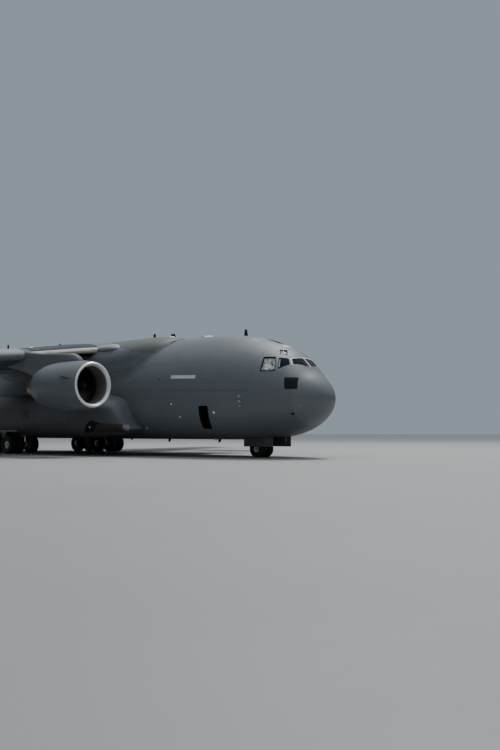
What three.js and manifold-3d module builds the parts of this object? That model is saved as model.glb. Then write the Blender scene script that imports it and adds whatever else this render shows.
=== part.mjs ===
// A four-engined military transport plane, parked on its landing gear, as a scale model at 1:2.
// Sizes and places are written in metres of the full-size aircraft and multiplied by MM_PER_METRE
// when a piece is finished. A place is [station, y, z]: station is metres aft of the nose tip,
// y is to the left of the centre plane and z is up from the ground. Forward is +X.
import * as THREE from 'three';
import { mergeVertices } from 'three/addons/utils/BufferGeometryUtils.js';
import Module from 'manifold-3d';

const wasm = await Module();
wasm.setup();

const MODEL_SCALE = 0.5;
const MM_PER_METRE = 1000 * MODEL_SCALE;

// Overall sizes of the aircraft
const LENGTH = 53.04;
const HALF_SPAN = 25.87;
const HEIGHT = 16.79;

// GAP parts two fixed neighbours, CLEAR keeps a moving piece off the others
const GAP = 0.0006;
const CLEAR = 0.014;

// Cutting blocks run past what they cut: along, across and up.
// SUNK is how deep a joined piece sits in its carrier.
const ALONG = [0, 60];
const ACROSS = [-8, 8];
const UPWARD = [-3, 20];
const OVERRUN = 0.4;
const SUNK = 0.05;

// Fuselage: where its panels meet, and the thickness of its wall
const WALL = 0.15;
const RADOME_END = 1.15;
const COCKPIT_END = 5.9;
const FORWARD_END = 14.5;
const CENTRE_END = 27;
const AFT_END = 42;
const HULL_END = 48.5;
const HULL_POINTS = 24;

// station, half width, belly, crown, height of the widest line, squareness of the lower half
const HULL = [
  [0.0, 0.02, 3.38, 3.42, 3.4, 2.0],
  [0.1, 0.6, 2.95, 3.86, 3.4, 2.0],
  [0.3, 1.03, 2.6, 4.22, 3.41, 2.05],
  [0.6, 1.43, 2.27, 4.56, 3.42, 2.1],
  [1.0, 1.82, 1.98, 4.91, 3.45, 2.2],
  [1.5, 2.19, 1.72, 5.42, 3.5, 2.3],
  [2.1, 2.53, 1.5, 6.0, 3.57, 2.5],
  [3.0, 2.89, 1.28, 6.51, 3.68, 2.8],
  [4.2, 3.2, 1.12, 6.95, 3.84, 3.2],
  [5.5, 3.39, 1.06, 7.25, 3.97, 3.5],
  [7.0, 3.43, 1.05, 7.43, 4.03, 3.6],
  [9.0, 3.43, 1.05, 7.48, 4.05, 3.6],
  [29.0, 3.43, 1.05, 7.48, 4.05, 3.6],
  [31.0, 3.42, 1.35, 7.48, 4.15, 3.4],
  [33.0, 3.36, 1.95, 7.48, 4.35, 3.1],
  [36.0, 3.15, 2.95, 7.46, 4.8, 2.7],
  [39.0, 2.75, 3.85, 7.42, 5.3, 2.4],
  [42.0, 2.2, 4.68, 7.34, 5.85, 2.2],
  [45.0, 1.5, 5.45, 7.22, 6.25, 2.0],
  [48.5, 0.55, 6.25, 7.0, 6.62, 2.0],
];

// Cockpit panes on the right side; the left side mirrors them. Corners go round the pane.
const PANE_OUTER = 0.02;
const PANE_INNER = 0.09;
const PANES = {
  windshield: [[1.91, -0.98, 5.63], [1.8, -0.08, 5.7], [1.31, -0.08, 5.2], [1.66, -1.15, 5.3]],
  side_window: [[2.42, -1.52, 5.67], [2.02, -1.12, 5.64], [1.77, -1.32, 5.26], [2.1, -2.0, 4.98]],
  aft_window: [[3.07, -2.02, 5.73], [2.53, -1.62, 5.73], [2.2, -2.14, 4.91], [2.93, -2.56, 4.89]],
};
const EYEBROW = [[2.76, -0.98, 6.21], [2.5, -0.63, 6.16], [2.23, -0.98, 5.89], [2.47, -1.3, 5.9]];

// Flight deck and nose gear bay
const DECK_FLOOR = 4.05;
const DECK_THICKNESS = 0.12;
const DECK_FRONT = 1.8;
const BULKHEAD = 0.1;
const PANEL = { front: 2.0, back: 2.5, halfWidth: 1.35, top: 5.0 };
const SEAT = {
  station: 3.15, y: 0.78, width: 0.56, depth: 0.55, cushion: 0.45, back: 1.15, thickness: 0.14,
};
const BAY = { front: 3.3, back: 5.65, halfWidth: 0.8, top: 2.7, wall: 0.1 };

// Cargo hold
const FLOOR_TOP = 1.63;
const FLOOR_END = 28.9;

// Crew door on the left, exit on the right, both at the front of the hold
const CREW_DOOR = {
  front: 6.1, back: 7.0, bottom: 1.68, top: 3.5, pin: 0.05, pinLength: 0.12, hingeOut: 0.004,
};
const LEFT_WALL = [2, 4];
const RIGHT_WALL = [-4, -2];
const EXIT = { front: 6.16, back: 6.9, bottom: 1.68, top: 3.02 };

// Ramp and cargo door in the belly of the aft fuselage
const RAMP = {
  front: 29.05, hingeZ: 1.12, halfWidth: 2.68, endZ: 2.4, endLow: 34.8, topZ: 3.3, endHigh: 34.44,
  toe: 0.11, lip: 0.08,
};
const RAMP_BAR = { radius: 0.06, halfLength: 2.0, sides: 24 };
const CARGO_DOOR = { end: 41, halfWidthFront: 2.62, halfWidthEnd: 1.5, top: 5.4, thickness: 0.2 };
const DOOR_HINGE = { station: 40.9, z: 4.82, radius: 0.06, pinLength: 0.16 };

// Fairing that carries the wing over the fuselage: station, half width, bottom, top
const FAIRING = [
  [11, 1.2, 6.6, 7.42],
  [11.6, 2.3, 5.8, 7.56],
  [12.3, 2.95, 5.1, 7.68],
  [13.2, 3.3, 4.75, 7.72],
  [14.6, 3.46, 4.5, 7.7],
  [18, 3.5, 4.4, 7.68],
  [23, 3.5, 4.4, 7.66],
  [26, 3.4, 4.7, 7.62],
  [29, 2.9, 5.4, 7.55],
  [31.2, 1.5, 6.3, 7.36],
];
// Height of its widest line as a share, and squareness above and below that line
const FAIRING_SHAPE = { widest: 0.45, above: 2.2, below: 3.8 };

// Wing
const WING = {
  lead: 14.7, leadSlope: 0.546, trail: 25.75, trailSlope: 0.225,
  hingeZ: 6.6, droop: 0.058, thickRoot: 0.14, thickTip: 0.11, tip: 25.2,
};
const WING_ROWS = [0.9, 4, 7, 12, 25.2];
// Distance from the centre plane, and the nose-up angle of the section there in degrees
const WING_TWIST = [[0, 3.7], [4, 3.7], [7, 2.4], [25.2, 0.5]];
const WINGLET = {
  lead: 28.9, chord: 2.55, tipLead: 30.9, tipChord: 1.05, rise: 2.85, thickness: 0.1, rootDrop: 0.04,
};
const HINGE_AT = 0.73;
const FLAP = { inner: 4.8, outer: 18.2 };
const AILERON = { inner: 18.7, outer: 24.3 };
const FOIL_POINTS = [1, HINGE_AT, 0.5, 0.25, 0.09, 0.02];
// Hinge pins: radius as a share of the section's half thickness, length in metres.
// COVE is the radius of the hollow ahead of a moving surface, over that half thickness.
const PIN = { share: 0.6, length: 0.1 };
const COVE = 1.07;
// Depth of the block that a moving surface is cut out by, behind its hinge
const BEHIND = 8;
// Fairings of the flap hinges: half on the wing, half on the flap, with a wedge left open between
// them for the flap's travel. front and back are shares of the wing's chord, and each row of the
// outline is a share of the length and of the full half width and depth.
const CANOE = {
  y: [5.6, 9.7, 14.4, 17.4], front: 0.4, back: 1.08, half: 0.2, depth: 0.42, cover: 0.12,
  frontLean: 13, backLean: 24,
};
const CANOE_SHAPE = { widest: 0.5, above: 2, below: 2 };
const CANOE_SIDES = 10;
const CANOE_OUTLINE = [
  [0, 0.05], [0.06, 0.38], [0.18, 0.72], [0.34, 0.94], [0.5, 1], [0.68, 0.9], [0.85, 0.58], [0.96, 0.22],
  [1, 0.05],
];

// Engines: centre of the inlet of the inboard one. The outboard one is moved with the wing's leading edge.
const ENGINE_Y = [7.0, 13.1];
const ENGINE = { lip: 12.0, z: 4.28 };
// metres aft of the lip, outer radius
const COWL_OUTER = [[0, 1.27], [0.06, 1.35], [0.35, 1.42], [1.1, 1.49], [2.6, 1.5], [3.7, 1.42], [4.6, 1.2]];
const COWL_INNER = [[4.6, 1.14], [3.4, 1.2], [1.9, 1.16], [1.1, 1.14], [0.35, 1.1], [0.06, 1.18]];
const FAN = {
  front: 1.22, depth: 0.32, radius: 1.08, hub: 0.36, spinner: 0.55,
  blades: 24, halfThickness: 0.016, halfChord: 0.13, rootTwist: 0.45, tipTwist: 0.95,
};
const CORE = [[1.54, 0], [1.54, 0.34], [2.1, 0.62], [3.2, 0.8], [4.6, 0.78], [6, 0.52], [6, 0.3], [6.6, 0]];
const LATHE_SIDES = 24;
const SMALL_SIDES = 12;
const PYLON_HALF = 0.24;
// height above the engine's axis, front and back in metres aft of the lip
const PYLON = [
  [0.6, 3.2, 5.6],
  [1.05, 2.2, 6.9],
  [1.49, 1.02, 8.9],
  [1.84, 1.46, 10.6],
  [1.97, 1.98, 10.8],
  [2.12, 4.48, 10.8],
  [2.32, 6.2, 10.7],
];
// share of the way back, share of the half width
const PYLON_OUTLINE = [[0, 0], [0.05, 0.62], [0.16, 0.95], [0.35, 1], [0.65, 0.8], [0.88, 0.4], [1, 0.12]];

// Gear pods beside the fuselage: station, outer y, bottom, top
const POD = [
  [12.06, 3.7, 1.66, 1.74],
  [12.4, 4.15, 1.51, 2.05],
  [12.65, 4.4, 1.45, 2.6],
  [12.95, 4.6, 1.4, 3.15],
  [13.4, 4.82, 1.35, 3.58],
  [14.7, 5.12, 1.25, 3.9],
  [16.5, 5.25, 1.15, 4.1],
  [27.5, 5.25, 1.15, 4.1],
  [29.6, 4.75, 1.4, 3.8],
  [31.5, 3.6, 2.0, 3.2],
];
const POD_MIDDLE = 2.9;
const POD_SHAPE = { widest: 0.5, above: 2.7, below: 2.7 };
const WELL = { front: 22.9, back: 27.1, inner: 2.4, outer: 5.7, top: 1.62 };

// Landing gear: the tyres' flat facets stand on the ground
const TYRE_SIDES = 16;
const MAIN_TYRE = { radius: 0.635, width: 0.533 };
const NOSE_TYRE = { radius: 0.508, width: 0.4 };
const MAIN_AXLES = [23.77, 26.23];
const MAIN_TYRE_Y = [3.05, 4.2, 4.87];
// share of a tyre's half width at bead and tread, and of its radius at the shoulder
const TYRE_SHAPE = { bead: 0.7, tread: 0.62, shoulder: 0.84 };
const MAIN_LEG = { y: 3.62, radius: 0.17, foot: 0.136, eye: 0.24, hub: 0.13, halfWidth: 0.22 };
const MAIN_AXLE = { inner: 2.75, outer: 5.09 };
const NOSE_DOOR = { front: 3.4, back: 5.6, inner: 0.83, outer: 0.87, low: 0.64, high: 1.3 };
const NOSE_GEAR = {
  station: 4.95, tyreY: 0.36, axleEnd: 0.6, legRadius: 0.13, forkTop: 1.06, forkRadius: 0.1,
  hub: 0.09, eye: 0.15, eyeHalf: 0.11,
  braceLow: 1.31, braceHigh: 2.55, braceStation: 3.65, braceRadius: 0.06,
};

// Tail
const FIN = [
  { lead: [36.4, 0, 6.9], chord: 12.0, thick: 0.065 },
  { lead: [38.3, 0, 8.0], chord: 9.85, thick: 0.09 },
  { lead: [45.9, 0, 16.3], chord: 5.45, thick: 0.1 },
];
const RUDDER = { at: 0.66, bottom: 8.1, footRoom: 0.1, low: -0.1, high: 0.86 };
const STABILIZER = [
  { lead: [45.3, 0, 16.4], chord: 5.8, thick: 0.1 },
  { lead: [51.05, 9.905, 16.32], chord: 1.99, thick: 0.09 },
];
const ELEVATOR = { at: 0.7, inner: 1.25, outer: 9.3 };
// metres aft of the bullet's nose, radius
const BULLET = {
  nose: 44.6,
  z: HEIGHT - 0.42,
  profile: [[0, 0], [0.3, 0.2], [1.2, 0.38], [2.4, 0.42], [6.2, 0.42], [7.7, 0]],
};

const COLOURS = {
  airframe: [0x7d848a, 0.55, 0.15],
  radome: [0x757c82, 0.6, 0.05],
  pane: [0x10161c, 0.08, 0.0],
  hot: [0x6b5c50, 0.5, 0.8],
  tyre: [0x1b1c1d, 0.9, 0.0],
  leg: [0xd5d8da, 0.4, 0.3],
  inside: [0x4c5257, 0.8, 0.0],
  fan: [0x55585c, 0.35, 0.85],
};

const group = new THREE.Group();

function xOf(station) {
  return LENGTH / 2 - station;
}

function vec([station, y, z]) {
  return new THREE.Vector3(xOf(station), y, z);
}

// A closed mesh as a solid; its faces are turned outwards where they point inwards
function solid(geometry) {
  const bare = geometry.clone();
  bare.deleteAttribute('normal');
  bare.deleteAttribute('uv');
  const merged = mergeVertices(bare, 1e-5);
  const points = merged.attributes.position.array;
  const faces = [];
  let volume = 0;
  const a = new THREE.Vector3();
  const b = new THREE.Vector3();
  const c = new THREE.Vector3();
  for (let i = 0; i < merged.index.count; i += 3) {
    const [p, q, r] = [0, 1, 2].map((k) => merged.index.getX(i + k));
    if (p === q || q === r || r === p) continue;
    faces.push(p, q, r);
    a.fromArray(points, 3 * p);
    b.fromArray(points, 3 * q);
    c.fromArray(points, 3 * r);
    volume += a.dot(b.cross(c));
  }
  if (volume < 0) faces.reverse();
  const mesh = new wasm.Mesh({
    numProp: 3,
    vertProperties: new Float32Array(points),
    triVerts: new Uint32Array(faces),
  });
  return new wasm.Manifold(mesh);
}

// Rings of the same number of points, joined in order and closed by flat caps
function loft(rings) {
  const count = rings[0].length;
  const positions = rings.flat().flatMap((p) => vec(p).toArray());
  const index = [];
  for (let r = 0; r + 1 < rings.length; r += 1) {
    for (let i = 0; i < count; i += 1) {
      const j = (i + 1) % count;
      const [a, b, c, d] = [r * count + i, r * count + j, (r + 1) * count + j, (r + 1) * count + i];
      index.push(a, b, c, a, c, d);
    }
  }
  const last = (rings.length - 1) * count;
  for (let i = 1; i + 1 < count; i += 1) {
    index.push(0, i + 1, i);
    index.push(last, last + i, last + i + 1);
  }
  const geometry = new THREE.BufferGeometry();
  geometry.setAttribute('position', new THREE.Float32BufferAttribute(positions, 3));
  geometry.setIndex(index);
  return solid(geometry);
}

function join(...solids) {
  return solids.reduce((sum, piece) => sum.add(piece));
}

function cut(body, ...tools) {
  return tools.reduce((rest, tool) => rest.subtract(tool), body);
}

function box([s0, s1], [y0, y1], [z0, z1]) {
  const geometry = new THREE.BoxGeometry(s1 - s0, y1 - y0, z1 - z0);
  geometry.translate(xOf((s0 + s1) / 2), (y0 + y1) / 2, (z0 + z1) / 2);
  return solid(geometry);
}

// A box in a frame of its own: along, back and up are unit vectors from the origin
function boxIn(origin, along, back, up, [a0, a1], [b0, b1], [u0, u1]) {
  const geometry = new THREE.BoxGeometry(a1 - a0, b1 - b0, u1 - u0);
  geometry.translate((a0 + a1) / 2, (b0 + b1) / 2, (u0 + u1) / 2);
  geometry.applyMatrix4(new THREE.Matrix4().makeBasis(along, back, up).setPosition(origin));
  return solid(geometry);
}

// A round bar between two points, with its own radius at each end
function rod(from, to, fromRadius, toRadius = fromRadius, sides = SMALL_SIDES) {
  const direction = to.clone().sub(from);
  const geometry = new THREE.CylinderGeometry(toRadius, fromRadius, direction.length(), sides);
  const turn = new THREE.Quaternion().setFromUnitVectors(new THREE.Vector3(0, 1, 0), direction.normalize());
  geometry.applyQuaternion(turn);
  geometry.translate((from.x + to.x) / 2, (from.y + to.y) / 2, (from.z + to.z) / 2);
  return solid(geometry);
}

// A turned piece on an axis along the fuselage; the profile is [metres aft, radius]
function turned(profile, station, y, z, sides = LATHE_SIDES) {
  const points = profile.map(([aft, radius]) => new THREE.Vector2(radius, -aft));
  const geometry = new THREE.LatheGeometry(points, sides);
  geometry.rotateZ(-Math.PI / 2);
  geometry.translate(xOf(station), y, z);
  return solid(geometry);
}

// A turned piece on an axle across the fuselage; the profile is [y, radius]
function axleTurned(profile, station, z) {
  const points = profile.map(([y, radius]) => new THREE.Vector2(radius, y));
  const geometry = new THREE.LatheGeometry(points, TYRE_SIDES, Math.PI / TYRE_SIDES);
  geometry.translate(xOf(station), 0, z);
  return solid(geometry);
}

function add(name, piece, colour) {
  const mesh = piece.getMesh();
  const geometry = new THREE.BufferGeometry();
  const points = Float32Array.from(mesh.vertProperties, (value) => value * MM_PER_METRE);
  geometry.setAttribute('position', new THREE.BufferAttribute(points, 3));
  geometry.setIndex(new THREE.BufferAttribute(mesh.triVerts, 1));
  geometry.computeVertexNormals();
  const [hex, roughness, metalness] = COLOURS[colour];
  const material = new THREE.MeshStandardMaterial({ color: hex, roughness, metalness });
  const part = new THREE.Mesh(geometry, material);
  part.name = name;
  group.add(part);
}

function mix(a, b, t) {
  return a + (b - a) * t;
}

// Values of a table at a station, straight between its rows
function rowAt(table, station) {
  const next = Math.min(Math.max(table.findIndex((row) => row[0] >= station), 1), table.length - 1);
  const [low, high] = [table[next - 1], table[next]];
  const t = (station - low[0]) / (high[0] - low[0]);
  return low.map((value, k) => mix(value, high[k], t));
}

// Fuselage section: an ellipse above its widest line, a squarer curve below it
function hullRing(station, inset) {
  const [, width, belly, crown, middle, power] = rowAt(HULL, station);
  const ring = [];
  for (let i = 0; i < HULL_POINTS; i += 1) {
    const angle = (2 * Math.PI * i) / HULL_POINTS;
    const [c, s] = [Math.cos(angle), Math.sin(angle)];
    const bend = s >= -1e-9 ? 1 : 2 / power;
    const reach = s >= -1e-9 ? crown - middle : middle - belly;
    const y = (width - inset) * Math.sign(c) * Math.abs(c) ** bend;
    const z = middle + (reach - inset) * Math.sign(s) * Math.abs(s) ** bend;
    ring.push([station, Math.abs(c) < 1e-9 ? 0 : y, z]);
  }
  return ring;
}

function hull(from, to, inset = 0) {
  const between = HULL.map((row) => row[0]).filter((s) => s > from + 0.02 && s < to - 0.02);
  return loft([from, ...between, to].map((s) => hullRing(s, inset)));
}

function shell(from, to) {
  return cut(hull(from + GAP / 2, to - GAP / 2), hull(from - OVERRUN, to + OVERRUN, WALL));
}

// Prism through a pane's four corners, along the pane's own normal
function paneTool(corners, side, inset, depth = 0.5) {
  const points = corners.map(([s, y, z]) => new THREE.Vector3(xOf(s), -y * side, z));
  const middle = points.reduce((sum, p) => sum.add(p), new THREE.Vector3()).divideScalar(points.length);
  const normal = points[2].clone().sub(points[0]).cross(points[3].clone().sub(points[1])).normalize();
  const rings = [-depth, depth].map((reach) => points.map((p) => {
    const pulled = p.clone().add(middle.clone().sub(p).setLength(inset)).addScaledVector(normal, reach);
    return [LENGTH / 2 - pulled.x, pulled.y, pulled.z];
  }));
  return loft(rings);
}

const SIDES = { left: 1, right: -1 };

// Nose cone
add('radome', hull(0, RADOME_END - GAP / 2), 'radome');

// Cockpit shell with its windows and the opening of the nose gear bay
const bayOpening = box([BAY.front, BAY.back], [-BAY.halfWidth, BAY.halfWidth], [UPWARD[0], BAY.top]);
const paneTools = [];
for (const side of Object.values(SIDES)) {
  for (const corners of [...Object.values(PANES), EYEBROW]) paneTools.push(paneTool(corners, side, 0));
}
const cockpit = cut(
  hull(RADOME_END + GAP / 2, COCKPIT_END - GAP / 2),
  hull(RADOME_END + WALL, COCKPIT_END + OVERRUN, WALL),
  bayOpening,
  ...paneTools,
);
add('cockpit_shell', cockpit, 'airframe');

const paneSkin = cut(
  hull(RADOME_END, COCKPIT_END, PANE_OUTER),
  hull(RADOME_END - OVERRUN, COCKPIT_END + OVERRUN, PANE_INNER),
);
for (const [sideName, side] of Object.entries(SIDES)) {
  for (const [name, corners] of Object.entries(PANES)) {
    add(`${name}_${sideName}`, paneTool(corners, side, 1.6 * GAP).intersect(paneSkin), 'pane');
  }
}

// Flight deck: floor, bulkhead, gear bay tub, instrument panel and two seats
const inside = hull(RADOME_END + WALL + GAP, COCKPIT_END + OVERRUN, WALL + GAP);
const bayOuter = box(
  [BAY.front - BAY.wall, BAY.back + BAY.wall],
  [-BAY.halfWidth - BAY.wall, BAY.halfWidth + BAY.wall],
  [UPWARD[0], BAY.top + BAY.wall],
);
const bulkhead = box([COCKPIT_END - 2 * BULKHEAD, COCKPIT_END - BULKHEAD], ACROSS, UPWARD);
const deckHeights = [DECK_FLOOR - DECK_THICKNESS, DECK_FLOOR];
const deckFloor = box([DECK_FRONT, COCKPIT_END - BULKHEAD], ACROSS, deckHeights);
const panel = box(
  [PANEL.front, PANEL.back],
  [-PANEL.halfWidth, PANEL.halfWidth],
  [DECK_FLOOR - SUNK, PANEL.top],
);
const seats = Object.values(SIDES).map((side) => {
  const y = [side * SEAT.y - SEAT.width / 2, side * SEAT.y + SEAT.width / 2];
  const cushion = box(
    [SEAT.station, SEAT.station + SEAT.depth],
    y,
    [DECK_FLOOR - SUNK, DECK_FLOOR + SEAT.cushion],
  );
  const back = box(
    [SEAT.station + SEAT.depth - SEAT.thickness, SEAT.station + SEAT.depth],
    y,
    [DECK_FLOOR - SUNK, DECK_FLOOR + SEAT.back],
  );
  return join(cushion, back);
});
const deck = join(bayOuter, bulkhead, deckFloor, panel, ...seats);
add('flight_deck', cut(deck.intersect(inside), bayOpening), 'inside');

// Forward fuselage with the crew door's opening on the left and the open exit on the right
const doorOpening = box(
  [CREW_DOOR.front - CLEAR, CREW_DOOR.back + CLEAR],
  LEFT_WALL,
  [CREW_DOOR.bottom - CLEAR, CREW_DOOR.top + 2 * CLEAR],
);
const exitOpening = box([EXIT.front, EXIT.back], RIGHT_WALL, [EXIT.bottom, EXIT.top]);
const doorBlank = box([CREW_DOOR.front, CREW_DOOR.back], LEFT_WALL, [CREW_DOOR.bottom, CREW_DOOR.top]);
const doorSkin = cut(
  hull(COCKPIT_END, FORWARD_END),
  hull(COCKPIT_END - OVERRUN, FORWARD_END + OVERRUN, WALL),
);

// y of the fuselage skin at a height below its widest line
function hullSideAt(station, z) {
  const [, width, belly, , middle, power] = rowAt(HULL, station);
  return width * (1 - ((middle - z) / (middle - belly)) ** power) ** (1 / power);
}

const doorHingeY = hullSideAt((CREW_DOOR.front + CREW_DOOR.back) / 2, CREW_DOOR.bottom) + CREW_DOOR.hingeOut;
const doorPins = [[CREW_DOOR.front, -1], [CREW_DOOR.back, 1]].map(([edge, sign]) => rod(
  vec([edge + sign * GAP, doorHingeY, CREW_DOOR.bottom]),
  vec([edge + sign * CREW_DOOR.pinLength, doorHingeY, CREW_DOOR.bottom]),
  CREW_DOOR.pin,
));
const forwardShell = cut(shell(COCKPIT_END, FORWARD_END), doorOpening, exitOpening);
add('forward_fuselage', join(forwardShell, ...doorPins), 'airframe');
add('crew_door', doorBlank.intersect(doorSkin), 'airframe');

add('centre_fuselage', shell(FORWARD_END, CENTRE_END), 'airframe');

// Cargo floor from the bulkhead to the ramp
const holdInside = hull(COCKPIT_END + CLEAR, FLOOR_END, WALL + GAP);
add('cargo_floor', holdInside.intersect(box(ALONG, ACROSS, [UPWARD[0], FLOOR_TOP])), 'inside');

// Ramp: between the belly's skin and its flat top, turning on a bar at its front edge.
// Its end leans forward, so that it can swing down past the cargo door.
const endLean = (RAMP.endHigh - RAMP.endLow) / (RAMP.topZ - RAMP.endZ);
function rampBlank(grow, toe) {
  const side = RAMP.halfWidth + grow;
  const outline = [
    [RAMP.front - grow + toe, 0],
    [RAMP.endLow - endLean * RAMP.endZ + grow, 0],
    [RAMP.endHigh + grow, RAMP.topZ + grow],
    [RAMP.front - grow, FLOOR_TOP + grow],
    [RAMP.front - grow, RAMP.hingeZ],
    [RAMP.front - grow + toe, RAMP.hingeZ - RAMP.lip],
  ];
  return loft([-side, side].map((y) => outline.map(([s, z]) => [s, y, z])));
}
function rampBar(radius, halfLength) {
  const end = (y) => vec([RAMP.front, y, RAMP.hingeZ]);
  return rod(end(-halfLength), end(halfLength), radius, radius, RAMP_BAR.sides);
}
const bellySolid = hull(CENTRE_END, AFT_END);
const barRoom = RAMP_BAR.radius / Math.cos(Math.PI / RAMP_BAR.sides) + 1.3 * GAP;
const rampPiece = cut(
  rampBlank(0, RAMP.toe).intersect(bellySolid),
  rampBar(barRoom, RAMP_BAR.halfLength + CLEAR),
);

// Cargo door: the belly's skin aft of the ramp, inside a tapering outline
const doorTaper = (CARGO_DOOR.halfWidthFront - CARGO_DOOR.halfWidthEnd) / (CARGO_DOOR.end - RAMP.endLow);
function doorHalfWidth(station) {
  return CARGO_DOOR.halfWidthEnd + doorTaper * (CARGO_DOOR.end - station);
}
function doorBlankAft(grow) {
  return loft([0, CARGO_DOOR.top].map((z) => {
    const start = RAMP.endLow + CLEAR - grow + endLean * (z - RAMP.endZ);
    const end = CARGO_DOOR.end + grow;
    const corners = [[start, -1], [end, -1], [end, 1], [start, 1]];
    return corners.map(([station, side]) => [station, side * (doorHalfWidth(station) + grow), z]);
  }));
}
const doorWall = cut(bellySolid, hull(CENTRE_END - OVERRUN, AFT_END + OVERRUN, CARGO_DOOR.thickness));
const doorSideY = doorHalfWidth(DOOR_HINGE.station - DOOR_HINGE.radius);
const cargoDoorPins = Object.values(SIDES).map((side) => rod(
  vec([DOOR_HINGE.station, side * (doorSideY + GAP), DOOR_HINGE.z]),
  vec([DOOR_HINGE.station, side * (doorSideY + DOOR_HINGE.pinLength), DOOR_HINGE.z]),
  DOOR_HINGE.radius,
));
const aftShell = cut(shell(CENTRE_END, AFT_END), rampBlank(CLEAR, 0), doorBlankAft(CLEAR));
const aftFuselage = join(aftShell, rampBar(RAMP_BAR.radius, RAMP_BAR.halfLength), ...cargoDoorPins);
add('aft_fuselage', aftFuselage, 'airframe');
add('cargo_ramp', rampPiece, 'airframe');
add('cargo_door', doorBlankAft(0).intersect(doorWall), 'airframe');
add('tail_cone', hull(AFT_END + GAP / 2, HULL_END), 'airframe');

// Wing fairing over the fuselage
function roundRing(station, yMiddle, halfWidth, [bottom, top], { widest, above, below }, count) {
  const middle = mix(bottom, top, widest);
  return Array.from({ length: count }, (_, i) => {
    const angle = (2 * Math.PI * (i + 0.5)) / count;
    const [c, s] = [Math.cos(angle), Math.sin(angle)];
    const bend = 2 / (s > 0 ? above : below);
    const reach = s > 0 ? top - middle : middle - bottom;
    return [
      station,
      yMiddle + halfWidth * Math.sign(c) * Math.abs(c) ** bend,
      middle + reach * Math.sign(s) * Math.abs(s) ** bend,
    ];
  });
}

function fairingSolid(grow) {
  return loft(FAIRING.map(([s, width, bottom, top]) => roundRing(
    s, 0, width + grow, [bottom - grow, top + grow], FAIRING_SHAPE, 24,
  )));
}

// The fuselage that the pieces set on it are cut by
const seat = hull(COCKPIT_END, HULL_END, -GAP);
add('wing_fairing', cut(fairingSolid(0), seat), 'airframe');

// Aerofoil section: back along its upper side and forward along its lower side
function halfThickness(x, thick) {
  const body = 0.2969 * Math.sqrt(x) - 0.126 * x - 0.3516 * x ** 2 + 0.2843 * x ** 3 - 0.1015 * x ** 4;
  return 5 * thick * body;
}

function foilRing({ lead, chord, thick, tilt = 0 }, up, grow = 0) {
  const [level, rise] = [Math.cos(tilt), Math.sin(tilt)];
  const at = (x, sign) => {
    const half = (halfThickness(x, thick) * chord + grow) * sign;
    const back = x * chord;
    return [
      lead[0] + back * level + up[1] * half * rise,
      lead[1] + up[0] * half,
      lead[2] - back * rise + up[1] * half * level,
    ];
  };
  const nose = [lead[0] - grow * level, lead[1], lead[2] + grow * rise];
  const upper = FOIL_POINTS.map((x) => at(x, 1));
  const lower = [...FOIL_POINTS].reverse().map((x) => at(x, -1));
  return [...upper, nose, ...lower];
}

const UP_Z = [0, 1];
const UP_Y = [1, 0];

// The wing is twisted about the straight line at HINGE_AT of its chord
function wingSection(y, side) {
  const lead = WING.lead + WING.leadSlope * y;
  const chord = WING.trail + WING.trailSlope * y - lead;
  const tilt = rowAt(WING_TWIST, y)[1] * Math.PI / 180;
  const front = HINGE_AT * chord;
  const hinge = [lead + front, side * y, WING.hingeZ - WING.droop * y];
  return {
    hinge,
    lead: [hinge[0] - front * Math.cos(tilt), hinge[1], hinge[2] + front * Math.sin(tilt)],
    chord,
    thick: mix(WING.thickRoot, WING.thickTip, y / WING.tip),
    tilt,
  };
}

function wingSolid(side, grow = 0) {
  return loft(WING_ROWS.map((y) => foilRing(wingSection(y, side), UP_Z, grow)));
}

function wingletSolid(side) {
  const tipZ = wingSection(WING.tip, side).lead[2];
  const lean = HALF_SPAN - WING.tip - WINGLET.thickness * WINGLET.tipChord / 2;
  const low = {
    lead: [WINGLET.lead, side * (WING.tip - SUNK), tipZ - WINGLET.rootDrop],
    chord: WINGLET.chord,
    thick: WINGLET.thickness,
  };
  const high = {
    lead: [WINGLET.tipLead, side * (WING.tip + lean), tipZ + WINGLET.rise],
    chord: WINGLET.tipChord,
    thick: WINGLET.thickness,
  };
  return loft([foilRing(low, UP_Y), foilRing(high, UP_Y)]);
}

// Radius of the faceted hollow in front of a moving surface, which swings past its own flat skin
function coveRadius(half) {
  return (COVE * half + CLEAR) / Math.cos(Math.PI / SMALL_SIDES);
}

// Directions along a hinge line, back from it and up from it
function hingeFrame(a, b) {
  const along = b.clone().sub(a);
  const length = along.length();
  along.normalize();
  const aft = new THREE.Vector3(-1, 0, 0);
  const back = aft.clone().addScaledVector(along, -aft.dot(along)).normalize();
  return { length, along, back, up: along.clone().cross(back) };
}

// A moving surface behind a hinge line, and the room that its neighbour leaves for it.
// The hinge runs from a to b; half is the section's half thickness at each of them.
function hinged(surface, a, b, halfA, halfB, keep = null) {
  const { length, along, back, up } = hingeFrame(a, b);
  const aftOfHinge = [0, BEHIND];
  let panel = surface.intersect(boxIn(a, along, back, up, [0, length], aftOfHinge, ACROSS));
  let room = join(
    boxIn(a, along, back, up, [-CLEAR, length + CLEAR], aftOfHinge, ACROSS),
    rod(
      a.clone().addScaledVector(along, -CLEAR),
      b.clone().addScaledVector(along, CLEAR),
      coveRadius(halfA),
      coveRadius(halfB),
    ),
  );
  panel = join(panel, rod(a, b, halfA, halfB));
  if (keep) {
    panel = panel.intersect(keep.panel);
    room = room.intersect(keep.room);
  }
  const radius = PIN.share * Math.min(halfA, halfB);
  const pins = [[a, -1], [b, 1]].map(([end, sign]) => rod(
    end.clone().addScaledVector(along, sign * GAP),
    end.clone().addScaledVector(along, sign * (CLEAR + PIN.length)),
    radius,
  ));
  return { panel, room, pins };
}

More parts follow.
